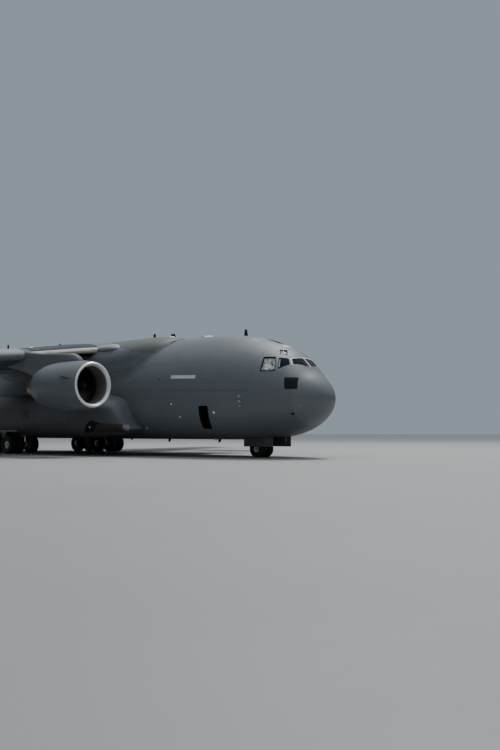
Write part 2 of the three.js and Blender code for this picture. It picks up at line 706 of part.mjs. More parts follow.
function wingHinge(y, side) {
  const section = wingSection(y, side);
  return { point: vec(section.hinge), half: halfThickness(HINGE_AT, section.thick) * section.chord };
}

// A flap hinge's fairing along the wing's lower side, split at the hinge into its two halves
function canoe(y, side, ends) {
  const section = wingSection(y, side);
  const length = (CANOE.back - CANOE.front) * section.chord;
  const rings = CANOE_OUTLINE.map(([share, size]) => {
    const x = CANOE.front + (CANOE.back - CANOE.front) * share;
    const skin = halfThickness(Math.min(x, 1), section.thick) * section.chord;
    const station = section.lead[0] + CANOE.front * section.chord + share * length;
    const z = section.lead[2] - x * section.chord * Math.sin(section.tilt) - skin;
    const heights = [z - CANOE.depth * size, z + CANOE.cover * size];
    return roundRing(station, side * y, CANOE.half * size, heights, CANOE_SHAPE, CANOE_SIDES);
  });
  const body = loft(rings);
  const { length: span, along, back, up } = hingeFrame(ends[0].point, ends[1].point);
  const leaned = (degrees, clear) => {
    const angle = side * degrees * Math.PI / 180;
    const aft = back.clone().multiplyScalar(Math.cos(angle)).addScaledVector(up, Math.sin(angle));
    const whole = [-OVERRUN, span + OVERRUN];
    return boxIn(ends[0].point, along, aft, along.clone().cross(aft), whole, [-clear, BEHIND], ACROSS);
  };
  return {
    front: cut(body, leaned(-CANOE.frontLean, CLEAR)),
    back: body.intersect(leaned(CANOE.backLean, 0)),
  };
}

for (const [sideName, side] of Object.entries(SIDES)) {
  const surface = wingSolid(side);
  const flapEnds = [FLAP.inner, FLAP.outer].map((y) => wingHinge(y, side));
  const aileronEnds = [AILERON.inner, AILERON.outer].map((y) => wingHinge(y, side));
  const canoes = CANOE.y.map((y) => canoe(y, side, flapEnds));
  const turning = (blank, [a, b]) => hinged(blank, a.point, b.point, a.half, b.half);
  const flap = turning(join(surface, ...canoes.map((half) => half.back)), flapEnds);
  const aileron = turning(surface, aileronEnds);
  const fixed = cut(
    join(surface, wingletSolid(side), ...canoes.map((half) => half.front)),
    fairingSolid(GAP),
    seat,
    flap.room,
    aileron.room,
  );
  add(`wing_${sideName}`, join(fixed, ...flap.pins, ...aileron.pins), 'airframe');
  add(`flap_${sideName}`, flap.panel, 'airframe');
  add(`aileron_${sideName}`, aileron.panel, 'airframe');
}

// Engines, numbered from the left wing tip to the right one
function pylonRing(level, front, back, y, station, z, grow) {
  const right = PYLON_OUTLINE.map(([t, half]) => [
    station + mix(front - grow, back + grow, t),
    y - half * PYLON_HALF - (half > 0 ? grow : 0),
    z + level,
  ]);
  const left = PYLON_OUTLINE.slice(1).reverse().map(([t, half]) => [
    station + mix(front - grow, back + grow, t),
    y + half * PYLON_HALF + grow,
    z + level,
  ]);
  return [...right, ...left];
}

// A turned profile with its radii larger by the gap to a neighbour
function grown(profile) {
  return profile.map(([aft, radius]) => [aft, radius > 0 ? radius + GAP : 0]);
}

function fanSolid(station, y, z) {
  const hubProfile = [
    [-FAN.spinner, 0],
    [-FAN.spinner * 0.6, FAN.hub * 0.6],
    [0, FAN.hub],
    [FAN.depth, FAN.hub],
    [FAN.depth, 0],
  ];
  const hub = turned(hubProfile, station + FAN.front, y, z, SMALL_SIDES);
  const blades = Array.from({ length: FAN.blades }, (_, i) => {
    const angle = (2 * Math.PI * i) / FAN.blades;
    const ring = (radius, twist) => {
      const half = FAN.halfChord;
      const wide = Math.tan(twist) * half;
      const thin = FAN.halfThickness;
      const corners = [
        [-half, -wide - thin],
        [-half, -wide + thin],
        [half, wide + thin],
        [half, wide - thin],
      ];
      return corners.map(([aft, across]) => [
        station + FAN.front + FAN.depth / 2 + aft,
        y + radius * Math.sin(angle) + across * Math.cos(angle),
        z + radius * Math.cos(angle) - across * Math.sin(angle),
      ]);
    };
    return loft([ring(FAN.hub - SUNK, FAN.rootTwist), ring(FAN.radius, FAN.tipTwist)]);
  });
  return join(hub, ...blades);
}

const engines = [
  [1, 1, ENGINE_Y[1]],
  [2, 1, ENGINE_Y[0]],
  [3, -1, ENGINE_Y[0]],
  [4, -1, ENGINE_Y[1]],
];
for (const [number, side, span] of engines) {
  const [inboard, own] = [ENGINE_Y[0], span].map((at) => wingSection(at, side).lead);
  const station = ENGINE.lip + own[0] - inboard[0];
  const z = ENGINE.z + own[2] - inboard[2];
  const y = side * span;
  const pylonOf = (grow) => loft(PYLON.map(
    ([level, front, back]) => pylonRing(level, front, back, y, station, z, grow),
  ));
  const core = turned(CORE, station, y, z, SMALL_SIDES);
  const pylon = cut(pylonOf(0), wingSolid(side, GAP), turned(grown(CORE), station, y, z, SMALL_SIDES));
  const cowl = cut(turned([...COWL_OUTER, ...COWL_INNER, COWL_OUTER[0]], station, y, z), pylonOf(GAP));
  add(`pylon_${number}`, pylon, 'airframe');
  add(`nacelle_${number}`, cowl, 'airframe');
  add(`engine_core_${number}`, core, 'hot');
  add(`fan_${number}`, fanSolid(station - GAP, y, z), 'fan');
}

// Gear pods with the wheel wells cut in
for (const [sideName, side] of Object.entries(SIDES)) {
  const body = loft(POD.map(([s, outer, bottom, top]) => roundRing(
    s, side * POD_MIDDLE, outer - POD_MIDDLE, [bottom, top], POD_SHAPE, 20,
  )));
  const y = [side * WELL.inner, side * WELL.outer].sort((a, b) => a - b);
  const well = box([WELL.front, WELL.back], y, [UPWARD[0], WELL.top]);
  const rampSide = RAMP.halfWidth + 2 * CLEAR;
  const rampPath = box([RAMP.front - 2 * CLEAR, ALONG[1]], [-rampSide, rampSide], UPWARD);
  add(`gear_pod_${sideName}`, cut(body, seat, well, rampPath), 'airframe');
}

// Radius of a faceted bore that a round hub turns in
function boreFor(hub) {
  return hub / Math.cos(Math.PI / SMALL_SIDES) + 1.3 * GAP;
}

// Main gear: four legs, each with an axle of three wheels
function tyreProfile(y, { radius, width }, hub) {
  const half = width / 2;
  return [
    [y - half * TYRE_SHAPE.bead, hub],
    [y - half, radius * TYRE_SHAPE.shoulder],
    [y - half * TYRE_SHAPE.tread, radius],
    [y + half * TYRE_SHAPE.tread, radius],
    [y + half, radius * TYRE_SHAPE.shoulder],
    [y + half * TYRE_SHAPE.bead, hub],
  ];
}

const mainAxleZ = MAIN_TYRE.radius * Math.cos(Math.PI / TYRE_SIDES);
const places = { front: MAIN_AXLES[0], rear: MAIN_AXLES[1] };
for (const [sideName, side] of Object.entries(SIDES)) {
  for (const [placeName, station] of Object.entries(places)) {
    const legY = side * MAIN_LEG.y;
    const top = vec([station, legY, WELL.top - GAP]);
    const foot = vec([station, legY, mainAxleZ]);
    const strut = rod(foot, top, MAIN_LEG.foot, MAIN_LEG.radius);
    const eye = rod(
      vec([station, legY - MAIN_LEG.halfWidth, mainAxleZ]),
      vec([station, legY + MAIN_LEG.halfWidth, mainAxleZ]),
      MAIN_LEG.eye,
    );
    const bore = rod(
      vec([station, legY - OVERRUN, mainAxleZ]),
      vec([station, legY + OVERRUN, mainAxleZ]),
      boreFor(MAIN_LEG.hub),
    );
    add(`main_leg_${placeName}_${sideName}`, cut(join(strut, eye), bore), 'leg');
    const hub = MAIN_LEG.hub;
    const profile = [[MAIN_AXLE.inner, 0], [MAIN_AXLE.inner, hub]];
    for (const y of MAIN_TYRE_Y) profile.push(...tyreProfile(y, MAIN_TYRE, hub));
    profile.push([MAIN_AXLE.outer, hub], [MAIN_AXLE.outer, 0]);
    const placed = profile.map(([y, radius]) => [side * y, radius]);
    add(`main_wheels_${placeName}_${sideName}`, axleTurned(placed, station, mainAxleZ), 'tyre');
  }
}

// Nose gear: a fixed leg, a steered fork and two wheels
const noseAxleZ = NOSE_TYRE.radius * Math.cos(Math.PI / TYRE_SIDES);
const noseAt = NOSE_GEAR.station;
const noseLeg = join(
  rod(vec([noseAt, 0, NOSE_GEAR.forkTop]), vec([noseAt, 0, BAY.top - GAP]), NOSE_GEAR.legRadius),
  rod(
    vec([noseAt, 0, NOSE_GEAR.braceLow]),
    vec([NOSE_GEAR.braceStation, 0, NOSE_GEAR.braceHigh]),
    NOSE_GEAR.braceRadius,
  ),
);
add('nose_leg', noseLeg, 'leg');

function noseAcross(halfLength, radius) {
  return rod(vec([noseAt, -halfLength, noseAxleZ]), vec([noseAt, halfLength, noseAxleZ]), radius);
}
const noseFork = join(
  rod(vec([noseAt, 0, noseAxleZ]), vec([noseAt, 0, NOSE_GEAR.forkTop - GAP]), NOSE_GEAR.forkRadius),
  noseAcross(NOSE_GEAR.eyeHalf, NOSE_GEAR.eye),
);
add('nose_fork', cut(noseFork, noseAcross(OVERRUN, boreFor(NOSE_GEAR.hub))), 'leg');
const noseProfile = [[-NOSE_GEAR.axleEnd, 0], [-NOSE_GEAR.axleEnd, NOSE_GEAR.hub]];
for (const y of [-NOSE_GEAR.tyreY, NOSE_GEAR.tyreY]) {
  noseProfile.push(...tyreProfile(y, NOSE_TYRE, NOSE_GEAR.hub));
}
noseProfile.push([NOSE_GEAR.axleEnd, NOSE_GEAR.hub], [NOSE_GEAR.axleEnd, 0]);
add('nose_wheels', axleTurned(noseProfile, noseAt, noseAxleZ), 'tyre');

// Open doors hanging from the belly beside the nose gear bay
const belly = hull(RADOME_END, COCKPIT_END, -GAP);
for (const [sideName, side] of Object.entries(SIDES)) {
  const across = [side * NOSE_DOOR.inner, side * NOSE_DOOR.outer].sort((a, b) => a - b);
  const plate = box([NOSE_DOOR.front, NOSE_DOOR.back], across, [NOSE_DOOR.low, NOSE_DOOR.high]);
  add(`nose_door_${sideName}`, cut(plate, belly), 'airframe');
}

// Tail: fin and rudder, stabilizer with its bullet fairing, elevators
const bullet = turned(BULLET.profile, BULLET.nose, 0, BULLET.z, SMALL_SIDES);
const bulletGrown = turned(grown(BULLET.profile), BULLET.nose, 0, BULLET.z, SMALL_SIDES);
const finSurface = loft(FIN.map((section) => foilRing(section, UP_Y)));
function finAt(t) {
  const [low, high] = [FIN[1], FIN[2]];
  const chord = mix(low.chord, high.chord, t);
  const thick = mix(low.thick, high.thick, t);
  const lead = mix(low.lead[0], high.lead[0], t);
  return {
    point: vec([lead + RUDDER.at * chord, 0, mix(low.lead[2], high.lead[2], t)]),
    half: halfThickness(RUDDER.at, thick) * chord,
  };
}
const rudderEnds = [finAt(RUDDER.low), finAt(RUDDER.high)];
const above = (z) => box(ALONG, ACROSS, [z, UPWARD[1]]);
const rudder = hinged(
  finSurface, rudderEnds[0].point, rudderEnds[1].point, rudderEnds[0].half, rudderEnds[1].half,
  { panel: above(RUDDER.bottom + RUDDER.footRoom), room: above(RUDDER.bottom) },
);
const fin = cut(finSurface, seat, bulletGrown, rudder.room);
add('fin', join(fin, rudder.pins[1]), 'airframe');
add('rudder', rudder.panel, 'airframe');

function tailRings(grow) {
  const [middle, tip] = STABILIZER;
  const rightTip = { ...tip, lead: [tip.lead[0], -tip.lead[1], tip.lead[2]] };
  return [rightTip, middle, tip].map((section) => foilRing(section, UP_Z, grow));
}
let stabilizer = join(loft(tailRings(0)), bullet);
const stabilizerPins = [];
for (const [sideName, side] of Object.entries(SIDES)) {
  const ends = [ELEVATOR.inner, ELEVATOR.outer].map((y) => {
    const t = y / STABILIZER[1].lead[1];
    const chord = mix(STABILIZER[0].chord, STABILIZER[1].chord, t);
    const lead = mix(STABILIZER[0].lead[0], STABILIZER[1].lead[0], t);
    const z = mix(STABILIZER[0].lead[2], STABILIZER[1].lead[2], t);
    return {
      point: vec([lead + ELEVATOR.at * chord, side * y, z]),
      half: halfThickness(ELEVATOR.at, mix(STABILIZER[0].thick, STABILIZER[1].thick, t)) * chord,
    };
  });
  const elevator = hinged(loft(tailRings(0)), ends[0].point, ends[1].point, ends[0].half, ends[1].half);
  stabilizer = cut(stabilizer, elevator.room);
  stabilizerPins.push(...elevator.pins);
  add(`elevator_${sideName}`, elevator.panel, 'airframe');
}
add('stabilizer', join(stabilizer, ...stabilizerPins), 'airframe');

export default group;
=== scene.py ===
"""The looks of a four-engined military transport plane, parked on its gear, as a model at 1:2.

Shapes are written in metres of the full-size aircraft. A place is (station, y, z): station is
metres aft of the nose tip, y is to the left of the centre plane and z is up from the ground.
place() turns places into the model's own metres, in which forward is +X.
"""
import math

import bpy
import numpy as np
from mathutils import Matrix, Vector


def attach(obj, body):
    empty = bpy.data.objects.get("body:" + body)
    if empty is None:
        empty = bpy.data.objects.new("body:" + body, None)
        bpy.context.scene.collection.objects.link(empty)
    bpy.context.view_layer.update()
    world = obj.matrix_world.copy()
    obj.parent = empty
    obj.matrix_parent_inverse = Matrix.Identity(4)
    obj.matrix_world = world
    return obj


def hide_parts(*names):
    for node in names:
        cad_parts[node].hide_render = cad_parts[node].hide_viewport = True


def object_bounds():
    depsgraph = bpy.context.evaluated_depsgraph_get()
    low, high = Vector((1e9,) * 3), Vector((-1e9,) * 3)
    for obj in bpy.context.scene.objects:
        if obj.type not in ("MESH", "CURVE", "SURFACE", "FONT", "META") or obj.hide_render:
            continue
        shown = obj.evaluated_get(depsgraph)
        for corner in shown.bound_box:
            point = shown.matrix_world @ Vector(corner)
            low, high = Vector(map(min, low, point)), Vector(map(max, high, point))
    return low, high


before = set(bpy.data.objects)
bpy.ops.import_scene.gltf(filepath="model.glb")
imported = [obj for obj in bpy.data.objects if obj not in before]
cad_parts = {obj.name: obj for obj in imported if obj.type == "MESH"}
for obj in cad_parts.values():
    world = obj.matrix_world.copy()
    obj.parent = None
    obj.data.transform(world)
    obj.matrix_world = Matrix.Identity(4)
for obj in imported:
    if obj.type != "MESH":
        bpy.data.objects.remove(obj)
cad_box = [list(corner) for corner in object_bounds()]

MODEL_SCALE = 0.5
LENGTH = (cad_box[1][0] - cad_box[0][0]) / MODEL_SCALE
HALF_SPAN = cad_box[1][1] / MODEL_SCALE
HEIGHT = cad_box[1][2] / MODEL_SCALE
SIDES = {"left": 1, "right": -1}

# Clearance of a moving piece, and how far cutting blocks run past what they cut
CLEAR = 0.014
FAR = 60.0
PRISM = 0.8

# Fuselage: where its panels meet, and the thickness of its wall
WALL = 0.15
RADOME_END = 1.15
COCKPIT_END = 5.9
FORWARD_END = 14.5
CENTRE_END = 27.0
AFT_END = 42.0
HULL_END = 48.5
HULL_POINTS = 144
# station, half width, belly, crown, height of the widest line, squareness of the lower half
HULL = (
    (0.0, 0.02, 3.38, 3.42, 3.4, 2.0),
    (0.1, 0.6, 2.95, 3.86, 3.4, 2.0),
    (0.3, 1.03, 2.6, 4.22, 3.41, 2.05),
    (0.6, 1.43, 2.27, 4.56, 3.42, 2.1),
    (1.0, 1.82, 1.98, 4.91, 3.45, 2.2),
    (1.5, 2.19, 1.72, 5.42, 3.5, 2.3),
    (2.1, 2.53, 1.5, 6.0, 3.57, 2.5),
    (3.0, 2.89, 1.28, 6.51, 3.68, 2.8),
    (4.2, 3.2, 1.12, 6.95, 3.84, 3.2),
    (5.5, 3.39, 1.06, 7.25, 3.97, 3.5),
    (7.0, 3.43, 1.05, 7.43, 4.03, 3.6),
    (9.0, 3.43, 1.05, 7.48, 4.05, 3.6),
    (29.0, 3.43, 1.05, 7.48, 4.05, 3.6),
    (31.0, 3.42, 1.35, 7.48, 4.15, 3.4),
    (33.0, 3.36, 1.95, 7.48, 4.35, 3.1),
    (36.0, 3.15, 2.95, 7.46, 4.8, 2.7),
    (39.0, 2.75, 3.85, 7.42, 5.3, 2.4),
    (42.0, 2.2, 4.68, 7.34, 5.85, 2.2),
    (45.0, 1.5, 5.45, 7.22, 6.25, 2.0),
    (48.5, 0.55, 6.25, 7.0, 6.62, 2.0),
)

# Cockpit panes on the right side, mirrored on the left; corners (station, y, z) go round the pane
PANES = {
    "windshield": ((1.91, -0.98, 5.63), (1.8, -0.08, 5.7), (1.31, -0.08, 5.2), (1.66, -1.15, 5.3)),
    "side_window": ((2.42, -1.52, 5.67), (2.02, -1.12, 5.64), (1.77, -1.32, 5.26), (2.1, -2.0, 4.98)),
    "aft_window": ((3.07, -2.02, 5.73), (2.53, -1.62, 5.73), (2.2, -2.14, 4.91), (2.93, -2.56, 4.89)),
    "eyebrow": ((2.76, -0.98, 6.21), (2.5, -0.63, 6.16), (2.23, -0.98, 5.89), (2.47, -1.3, 5.9)),
}
BAY = {"front": 3.3, "back": 5.65, "half": 0.8, "top": 2.7}
FLOOR_TOP = 1.63
CREW_DOOR = {"front": 6.1, "back": 7.0, "bottom": 1.68, "top": 3.5}
EXIT = {"front": 6.16, "back": 6.9, "bottom": 1.68, "top": 3.02}
RAMP = {
    "front": 29.05, "hinge_z": 1.12, "half": 2.68, "end_z": 2.4, "end_low": 34.8,
    "top_z": 3.3, "end_high": 34.44, "toe": 0.11, "lip": 0.08, "bar": 0.06, "bar_half": 2.0,
}
# Rows of rollers on the hold's floor and the ramp: distances from the centre plane
ROLLER_Y = (-2.0, -0.95, 0.95, 2.0)
CARGO_DOOR = {"end": 41.0, "half_front": 2.62, "half_end": 1.5, "top": 5.4, "thickness": 0.2}

# Fairing that carries the wing over the fuselage: station, half width, bottom, top
FAIRING = (
    (11.0, 1.2, 6.6, 7.42),
    (11.6, 2.3, 5.8, 7.56),
    (12.3, 2.95, 5.1, 7.68),
    (13.2, 3.3, 4.75, 7.72),
    (14.6, 3.46, 4.5, 7.7),
    (18.0, 3.5, 4.4, 7.68),
    (23.0, 3.5, 4.4, 7.66),
    (26.0, 3.4, 4.7, 7.62),
    (29.0, 2.9, 5.4, 7.55),
    (31.2, 1.5, 6.3, 7.36),
)
# Height of the widest line as a share, and squareness above and below it
FAIRING_SHAPE = (0.45, 2.2, 3.8)

WING = {
    "lead": 14.7, "lead_slope": 0.546, "trail": 25.75, "trail_slope": 0.225, "hinge_z": 6.6,
    "droop": 0.058, "thick_root": 0.14, "thick_tip": 0.11, "root": 0.9, "tip": 25.2,
}
# Distance from the centre plane, and the nose-up angle of the section there in degrees
WING_TWIST = ((0, 3.7), (4, 3.7), (7, 2.4), (25.2, 0.5))
WINGLET = {
    "lead": 28.9, "chord": 2.55, "tip_lead": 30.9, "tip_chord": 1.05, "rise": 2.85, "thick": 0.1,
}
HINGE_AT = 0.73
FLAP = (4.8, 18.2)
AILERON = (18.7, 24.3)
COVE = 1.07
# Fairings of the flap hinges, half on the wing and half on the flap: where they are, their ends as
# shares of the chord, half width, depth, and how far both halves lean away from the hinge
CANOE = {
    "y": (5.6, 9.7, 14.4, 17.4), "front": 0.4, "back": 1.08, "half": 0.2, "depth": 0.42,
    "cover": 0.12, "front_lean": 13, "back_lean": 24,
}
# share of the length, share of the half width and depth
CANOE_OUTLINE = (
    (0.0, 0.05), (0.06, 0.38), (0.18, 0.72), (0.34, 0.94), (0.5, 1.0), (0.68, 0.9), (0.85, 0.58),
    (0.96, 0.22), (1.0, 0.05),
)

ENGINE_Y = (7.0, 13.1)
ENGINE = {"lip": 12.0, "z": 4.28}
# metres aft of the lip, radius: from the cowl's trailing edge forward, round the lip and aft inside
COWL = (
    (4.6, 1.2), (3.7, 1.42), (2.6, 1.5), (1.1, 1.49), (0.35, 1.42), (0.06, 1.35), (0.0, 1.27),
    (0.06, 1.18), (0.35, 1.1), (1.1, 1.14), (1.9, 1.16), (3.4, 1.2), (4.6, 1.14),
)
FAN = {"front": 1.22, "depth": 0.32, "radius": 1.08, "blades": 24, "vanes": 44}
# metres aft of the fan's front, radius
SPINNER = (
    (-0.55, 0.004), (-0.5, 0.07), (-0.4, 0.15), (-0.22, 0.26), (0.0, 0.345), (0.1, 0.36),
    (0.3, 0.36), (0.3, 0.004),
)
# metres aft of the lip, radius: the hot core from its front face to the tip of its plug
CORE = (
    (1.6, 0.004), (1.6, 0.34), (1.85, 0.5), (2.1, 0.62), (2.6, 0.73), (3.2, 0.8), (3.9, 0.81),
    (4.6, 0.78), (5.3, 0.67), (6.0, 0.52), (6.0, 0.49), (5.5, 0.46), (5.5, 0.36), (5.9, 0.31),
    (6.3, 0.17), (6.6, 0.004),
)
# height above the engine's axis, front and back in metres aft of the lip
PYLON = (
    (0.6, 3.2, 5.6),
    (1.05, 2.2, 6.9),
    (1.49, 1.02, 8.9),
    (1.84, 1.46, 10.6),
    (1.97, 1.98, 10.8),
    (2.12, 4.48, 10.8),
    (2.32, 6.2, 10.7),
)
# share of the way back, half width
PYLON_OUTLINE = (
    (0.0, 0.0), (0.05, 0.15), (0.16, 0.228), (0.35, 0.24), (0.65, 0.192), (0.88, 0.096), (1.0, 0.029),
)

# Gear pods beside the fuselage: station, outer y, bottom, top
POD = (
    (12.06, 3.7, 1.66, 1.74),
    (12.4, 4.15, 1.51, 2.05),
    (12.65, 4.4, 1.45, 2.6),
    (12.95, 4.6, 1.4, 3.15),
    (13.4, 4.82, 1.35, 3.58),
    (14.7, 5.12, 1.25, 3.9),
    (16.5, 5.25, 1.15, 4.1),
    (27.5, 5.25, 1.15, 4.1),
    (29.6, 4.75, 1.4, 3.8),
    (31.5, 3.6, 2.0, 3.2),
)
POD_MIDDLE = 2.9
POD_SHAPE = (0.5, 2.7, 2.7)
WELL = {"front": 22.9, "back": 27.1, "inner": 2.4, "outer": 5.7, "top": 1.62}

TYRE_FACETS = 16
MAIN_TYRE = {"radius": 0.635 * math.cos(math.pi / TYRE_FACETS), "width": 0.533}
NOSE_TYRE = {"radius": 0.508 * math.cos(math.pi / TYRE_FACETS), "width": 0.4}
MAIN_AXLES = {"front": 23.77, "rear": 26.23}
MAIN_TYRE_Y = (3.05, 4.2, 4.87)
MAIN_LEG = {"y": 3.62, "hub": 0.13}
NOSE_GEAR = {"station": 4.95, "tyre_y": 0.36, "hub": 0.09}
NOSE_DOOR = {"front": 3.4, "back": 5.6, "inner": 0.83, "outer": 0.87, "low": 0.64}

FIN = (
    {"lead": (36.4, 0.0, 6.9), "chord": 12.0, "thick": 0.065},
    {"lead": (38.3, 0.0, 8.0), "chord": 9.85, "thick": 0.09},
    {"lead": (45.9, 0.0, 16.3), "chord": 5.45, "thick": 0.1},
)
RUDDER = {"at": 0.66, "bottom": 8.1, "foot_room": 0.1, "low": -0.1, "high": 0.86}
STABILIZER = (
    {"lead": (45.3, 0.0, 16.4), "chord": 5.8, "thick": 0.1},
    {"lead": (51.05, 9.905, 16.32), "chord": 1.99, "thick": 0.09},
)
ELEVATOR = {"at": 0.7, "inner": 1.25, "outer": 9.3}
BULLET = {
    "nose": 44.6,
    "z": HEIGHT - 0.42,
    "profile": ((0.0, 0.004), (0.3, 0.2), (1.2, 0.38), (2.4, 0.42), (6.2, 0.42), (7.7, 0.01)),
}

UP_Z = np.array((0.0, 0.0, 1.0))
UP_Y = np.array((0.0, 1.0, 0.0))


def place(points):
    """Full-size (station, y, z) rows as model points: forward is +X, and the model's middle is at 0."""
    points = np.asarray(points, float)
    forward = LENGTH / 2 - points[..., 0]
    return np.stack([forward, points[..., 1], points[..., 2]], axis=-1) * MODEL_SCALE


def full_size(points):
    """Model points as full-size (station, y, z) rows, the way back from place()."""
    points = np.asarray(points, float) / MODEL_SCALE
    return np.stack([LENGTH / 2 - points[..., 0], points[..., 1], points[..., 2]], axis=-1)


def between(table, at):
    """Rows of a table at the given values of its first column, on a cubic through the rows.

    The slope at a row is the harmonic mean of the slopes beside it, so nothing overshoots.
    """
    table = np.asarray(table, float)
    x, y = table[:, 0], table[:, 1:]
    slope = np.diff(y, axis=0) / np.diff(x)[:, None]
    before, after = slope[:-1], slope[1:]
    same = before * after > 0
    mean = np.where(same, 2 * before * after / np.where(same, before + after, 1), 0)
    tangent = np.vstack([slope[:1], mean, slope[-1:]])
    at = np.atleast_1d(np.asarray(at, float))
    k = np.clip(np.searchsorted(x, at) - 1, 0, len(x) - 2)
    width = (x[k + 1] - x[k])[:, None]
    t = (at - x[k])[:, None] / width
    return (
        y[k] * (1 + 2 * t) * (1 - t) ** 2
        + tangent[k] * width * t * (1 - t) ** 2
        + y[k + 1] * t ** 2 * (3 - 2 * t)
        + tangent[k + 1] * width * t ** 2 * (t - 1)
    )


def curve(points, count):
    """A smooth path of count points through the given ones, by between() on the length walked."""
    points = np.asarray(points, float)
    walked = np.concatenate([[0], np.cumsum(np.linalg.norm(np.diff(points, axis=0), axis=1))])
    return between(np.column_stack([walked, points]), np.linspace(0, walked[-1], count))


def even(ring, count):
    """A closed ring of points moved to count equal steps of its own length."""
    closed = np.vstack([ring, ring[:1]])
    walked = np.concatenate([[0], np.cumsum(np.linalg.norm(np.diff(closed, axis=0), axis=1))])
    steps = np.arange(count) * walked[-1] / count
    return np.stack([np.interp(steps, walked, closed[:, k]) for k in range(3)], axis=-1)


class Shape:
    """Closed forms in full-size metres: points, quads, and end faces with many corners."""

    def __init__(self, points, quads, caps=()):
        self.points = np.asarray(points, float).reshape(-1, 3)
        self.quads = np.asarray(quads, int).reshape(-1, 4)
        self.caps = [np.asarray(cap, int) for cap in caps]

    def volume(self):
        """Sum of the signed tetrahedra from the origin to every face, with station turned forward."""
        points = self.points * (-1, 1, 1)
        total = 0.0
        fans = [self.quads[:, [0, 1, 2]], self.quads[:, [0, 2, 3]]]
        for cap in self.caps:
            fans.append(np.stack([np.full(len(cap) - 2, cap[0]), cap[1:-1], cap[2:]], axis=-1))
        for fan in fans:
            a, b, c = points[fan[:, 0]], points[fan[:, 1]], points[fan[:, 2]]
            total += np.einsum("ij,ij->", a, np.cross(b, c)) / 6
        return total

    def turned_round(self):
        """The same form with every face the other way round."""
        return Shape(self.points, self.quads[:, ::-1], [cap[::-1] for cap in self.caps])

    def outward(self):
        """The form with its faces pointing out."""
        return self if self.volume() > 0 else self.turned_round()

    def mirrored(self):
        """The form on the other side of the centre plane."""
        return Shape(self.points * (1, -1, 1), self.quads, self.caps).turned_round()

    def moved(self, offset):
        """The form moved by (station, y, z)."""
        return Shape(self.points + np.asarray(offset, float), self.quads, self.caps)

    def __add__(self, other):
        return merged((self, other))


def merged(shapes):
    """Several forms as one Shape, with their faces numbered on."""
    shapes = list(shapes)
    starts = np.cumsum([0] + [len(shape.points) for shape in shapes])
    quads = [shape.quads + start for shape, start in zip(shapes, starts)]
    caps = [cap + start for shape, start in zip(shapes, starts) for cap in shape.caps]
    return Shape(np.vstack([shape.points for shape in shapes]), np.vstack(quads), caps)


def grid_faces(rows, columns, close_rows=False, close_columns=True):
    """Quads of a grid of points numbered row by row, closed round where asked."""
    r, c = np.meshgrid(
        np.arange(rows if close_rows else rows - 1),
        np.arange(columns if close_columns else columns - 1),
        indexing="ij",
    )
    below = (r + 1) % rows * columns
    here = r * columns
    beside = (c + 1) % columns
    return np.stack([here + c, here + beside, below + beside, below + c], axis=-1).reshape(-1, 4)


def loft(rings, close_rows=False):
    """A closed form through rings of points, with flat ends unless the rows close on themselves."""
    rings = np.asarray(rings, float)
    rows, columns = rings.shape[:2]
    caps = []
    if not close_rows:
        caps = [np.arange(columns)[::-1], np.arange(columns) + (rows - 1) * columns]
    return Shape(rings, grid_faces(rows, columns, close_rows), caps).outward()


def all_round(count):
    """Angles of equal turns all the way round."""
    return np.arange(count) * 2 * math.pi / count


def unit(vector):
    """A vector at length 1."""
    vector = np.asarray(vector, float)
    return vector / np.linalg.norm(vector)


def crosswise(direction):
    """Two unit vectors square to a direction and to each other."""
    direction = unit(direction)
    helper = UP_Z if abs(direction[2]) < 0.9 else UP_Y
    across = unit(np.cross(helper, direction))
    return across, np.cross(direction, across)


def lathe(profile, centre, direction=(1, 0, 0), sides=64, hollow=False):
    """A turned form: profile rows (along, radius) swept round the direction through the centre.

    A hollow profile closes on itself; any other ends in two flat faces.
    """
    profile = np.asarray(profile, float)
    across, up = crosswise(direction)
    spoke = np.outer(np.cos(all_round(sides)), across) + np.outer(np.sin(all_round(sides)), up)
    along = profile[:, 0, None, None] * unit(direction)
    rings = np.asarray(centre, float) + along + profile[:, 1, None, None] * spoke
    return loft(rings, close_rows=hollow)


def rod(start, end, radius, end_radius=None, sides=24):
    """A round bar between two points, with its own radius at each end."""
    start, end = np.asarray(start, float), np.asarray(end, float)
    length = np.linalg.norm(end - start)
    last = radius if end_radius is None else end_radius
    return lathe(((0, radius), (length, last)), start, end - start, sides)


def crossbar(middle, half, radius, sides=24):
    """A round bar along y, its half length to each side of its middle."""
    reach = np.array((0, half, 0))
    return rod(middle - reach, middle + reach, radius, sides=sides)


def sweep(path, radius, sides=12):
    """A tube along a path: a circle square to the path at each of its points."""
    path = np.asarray(path, float)
    tangent = np.gradient(path, axis=0)
    tangent /= np.linalg.norm(tangent, axis=1)[:, None]
    across = np.empty_like(path)
    across[0] = crosswise(tangent[0])[0]
    for i in range(1, len(path)):
        across[i] = unit(across[i - 1] - tangent[i] * (across[i - 1] @ tangent[i]))
    up = np.cross(tangent, across)
    angle = all_round(sides)
    radius = np.broadcast_to(radius, len(path))[:, None, None]
    circle = np.cos(angle)[:, None] * across[:, None] + np.sin(angle)[:, None] * up[:, None]
    return loft(path[:, None] + radius * circle)


def box_in(origin, axes, lows, highs):
    """A box with its own axes: every corner is origin plus its three coordinates along them."""
    axes = np.asarray(axes, float)
    low, high = np.asarray(lows, float), np.asarray(highs, float)
    square = np.array(((0, 0), (1, 0), (1, 1), (0, 1)))
    rings = []
    for first in (low[0], high[0]):
        flat = low[1:] + square * (high[1:] - low[1:])
        local = np.column_stack([np.full(4, first), flat])
        rings.append(np.asarray(origin, float) + local @ axes)
    return loft(rings)


def box(station, y, z):
    """A box from its ranges of station, y and z."""
    return box_in((0, 0, 0), np.eye(3), *zip(station, y, z))


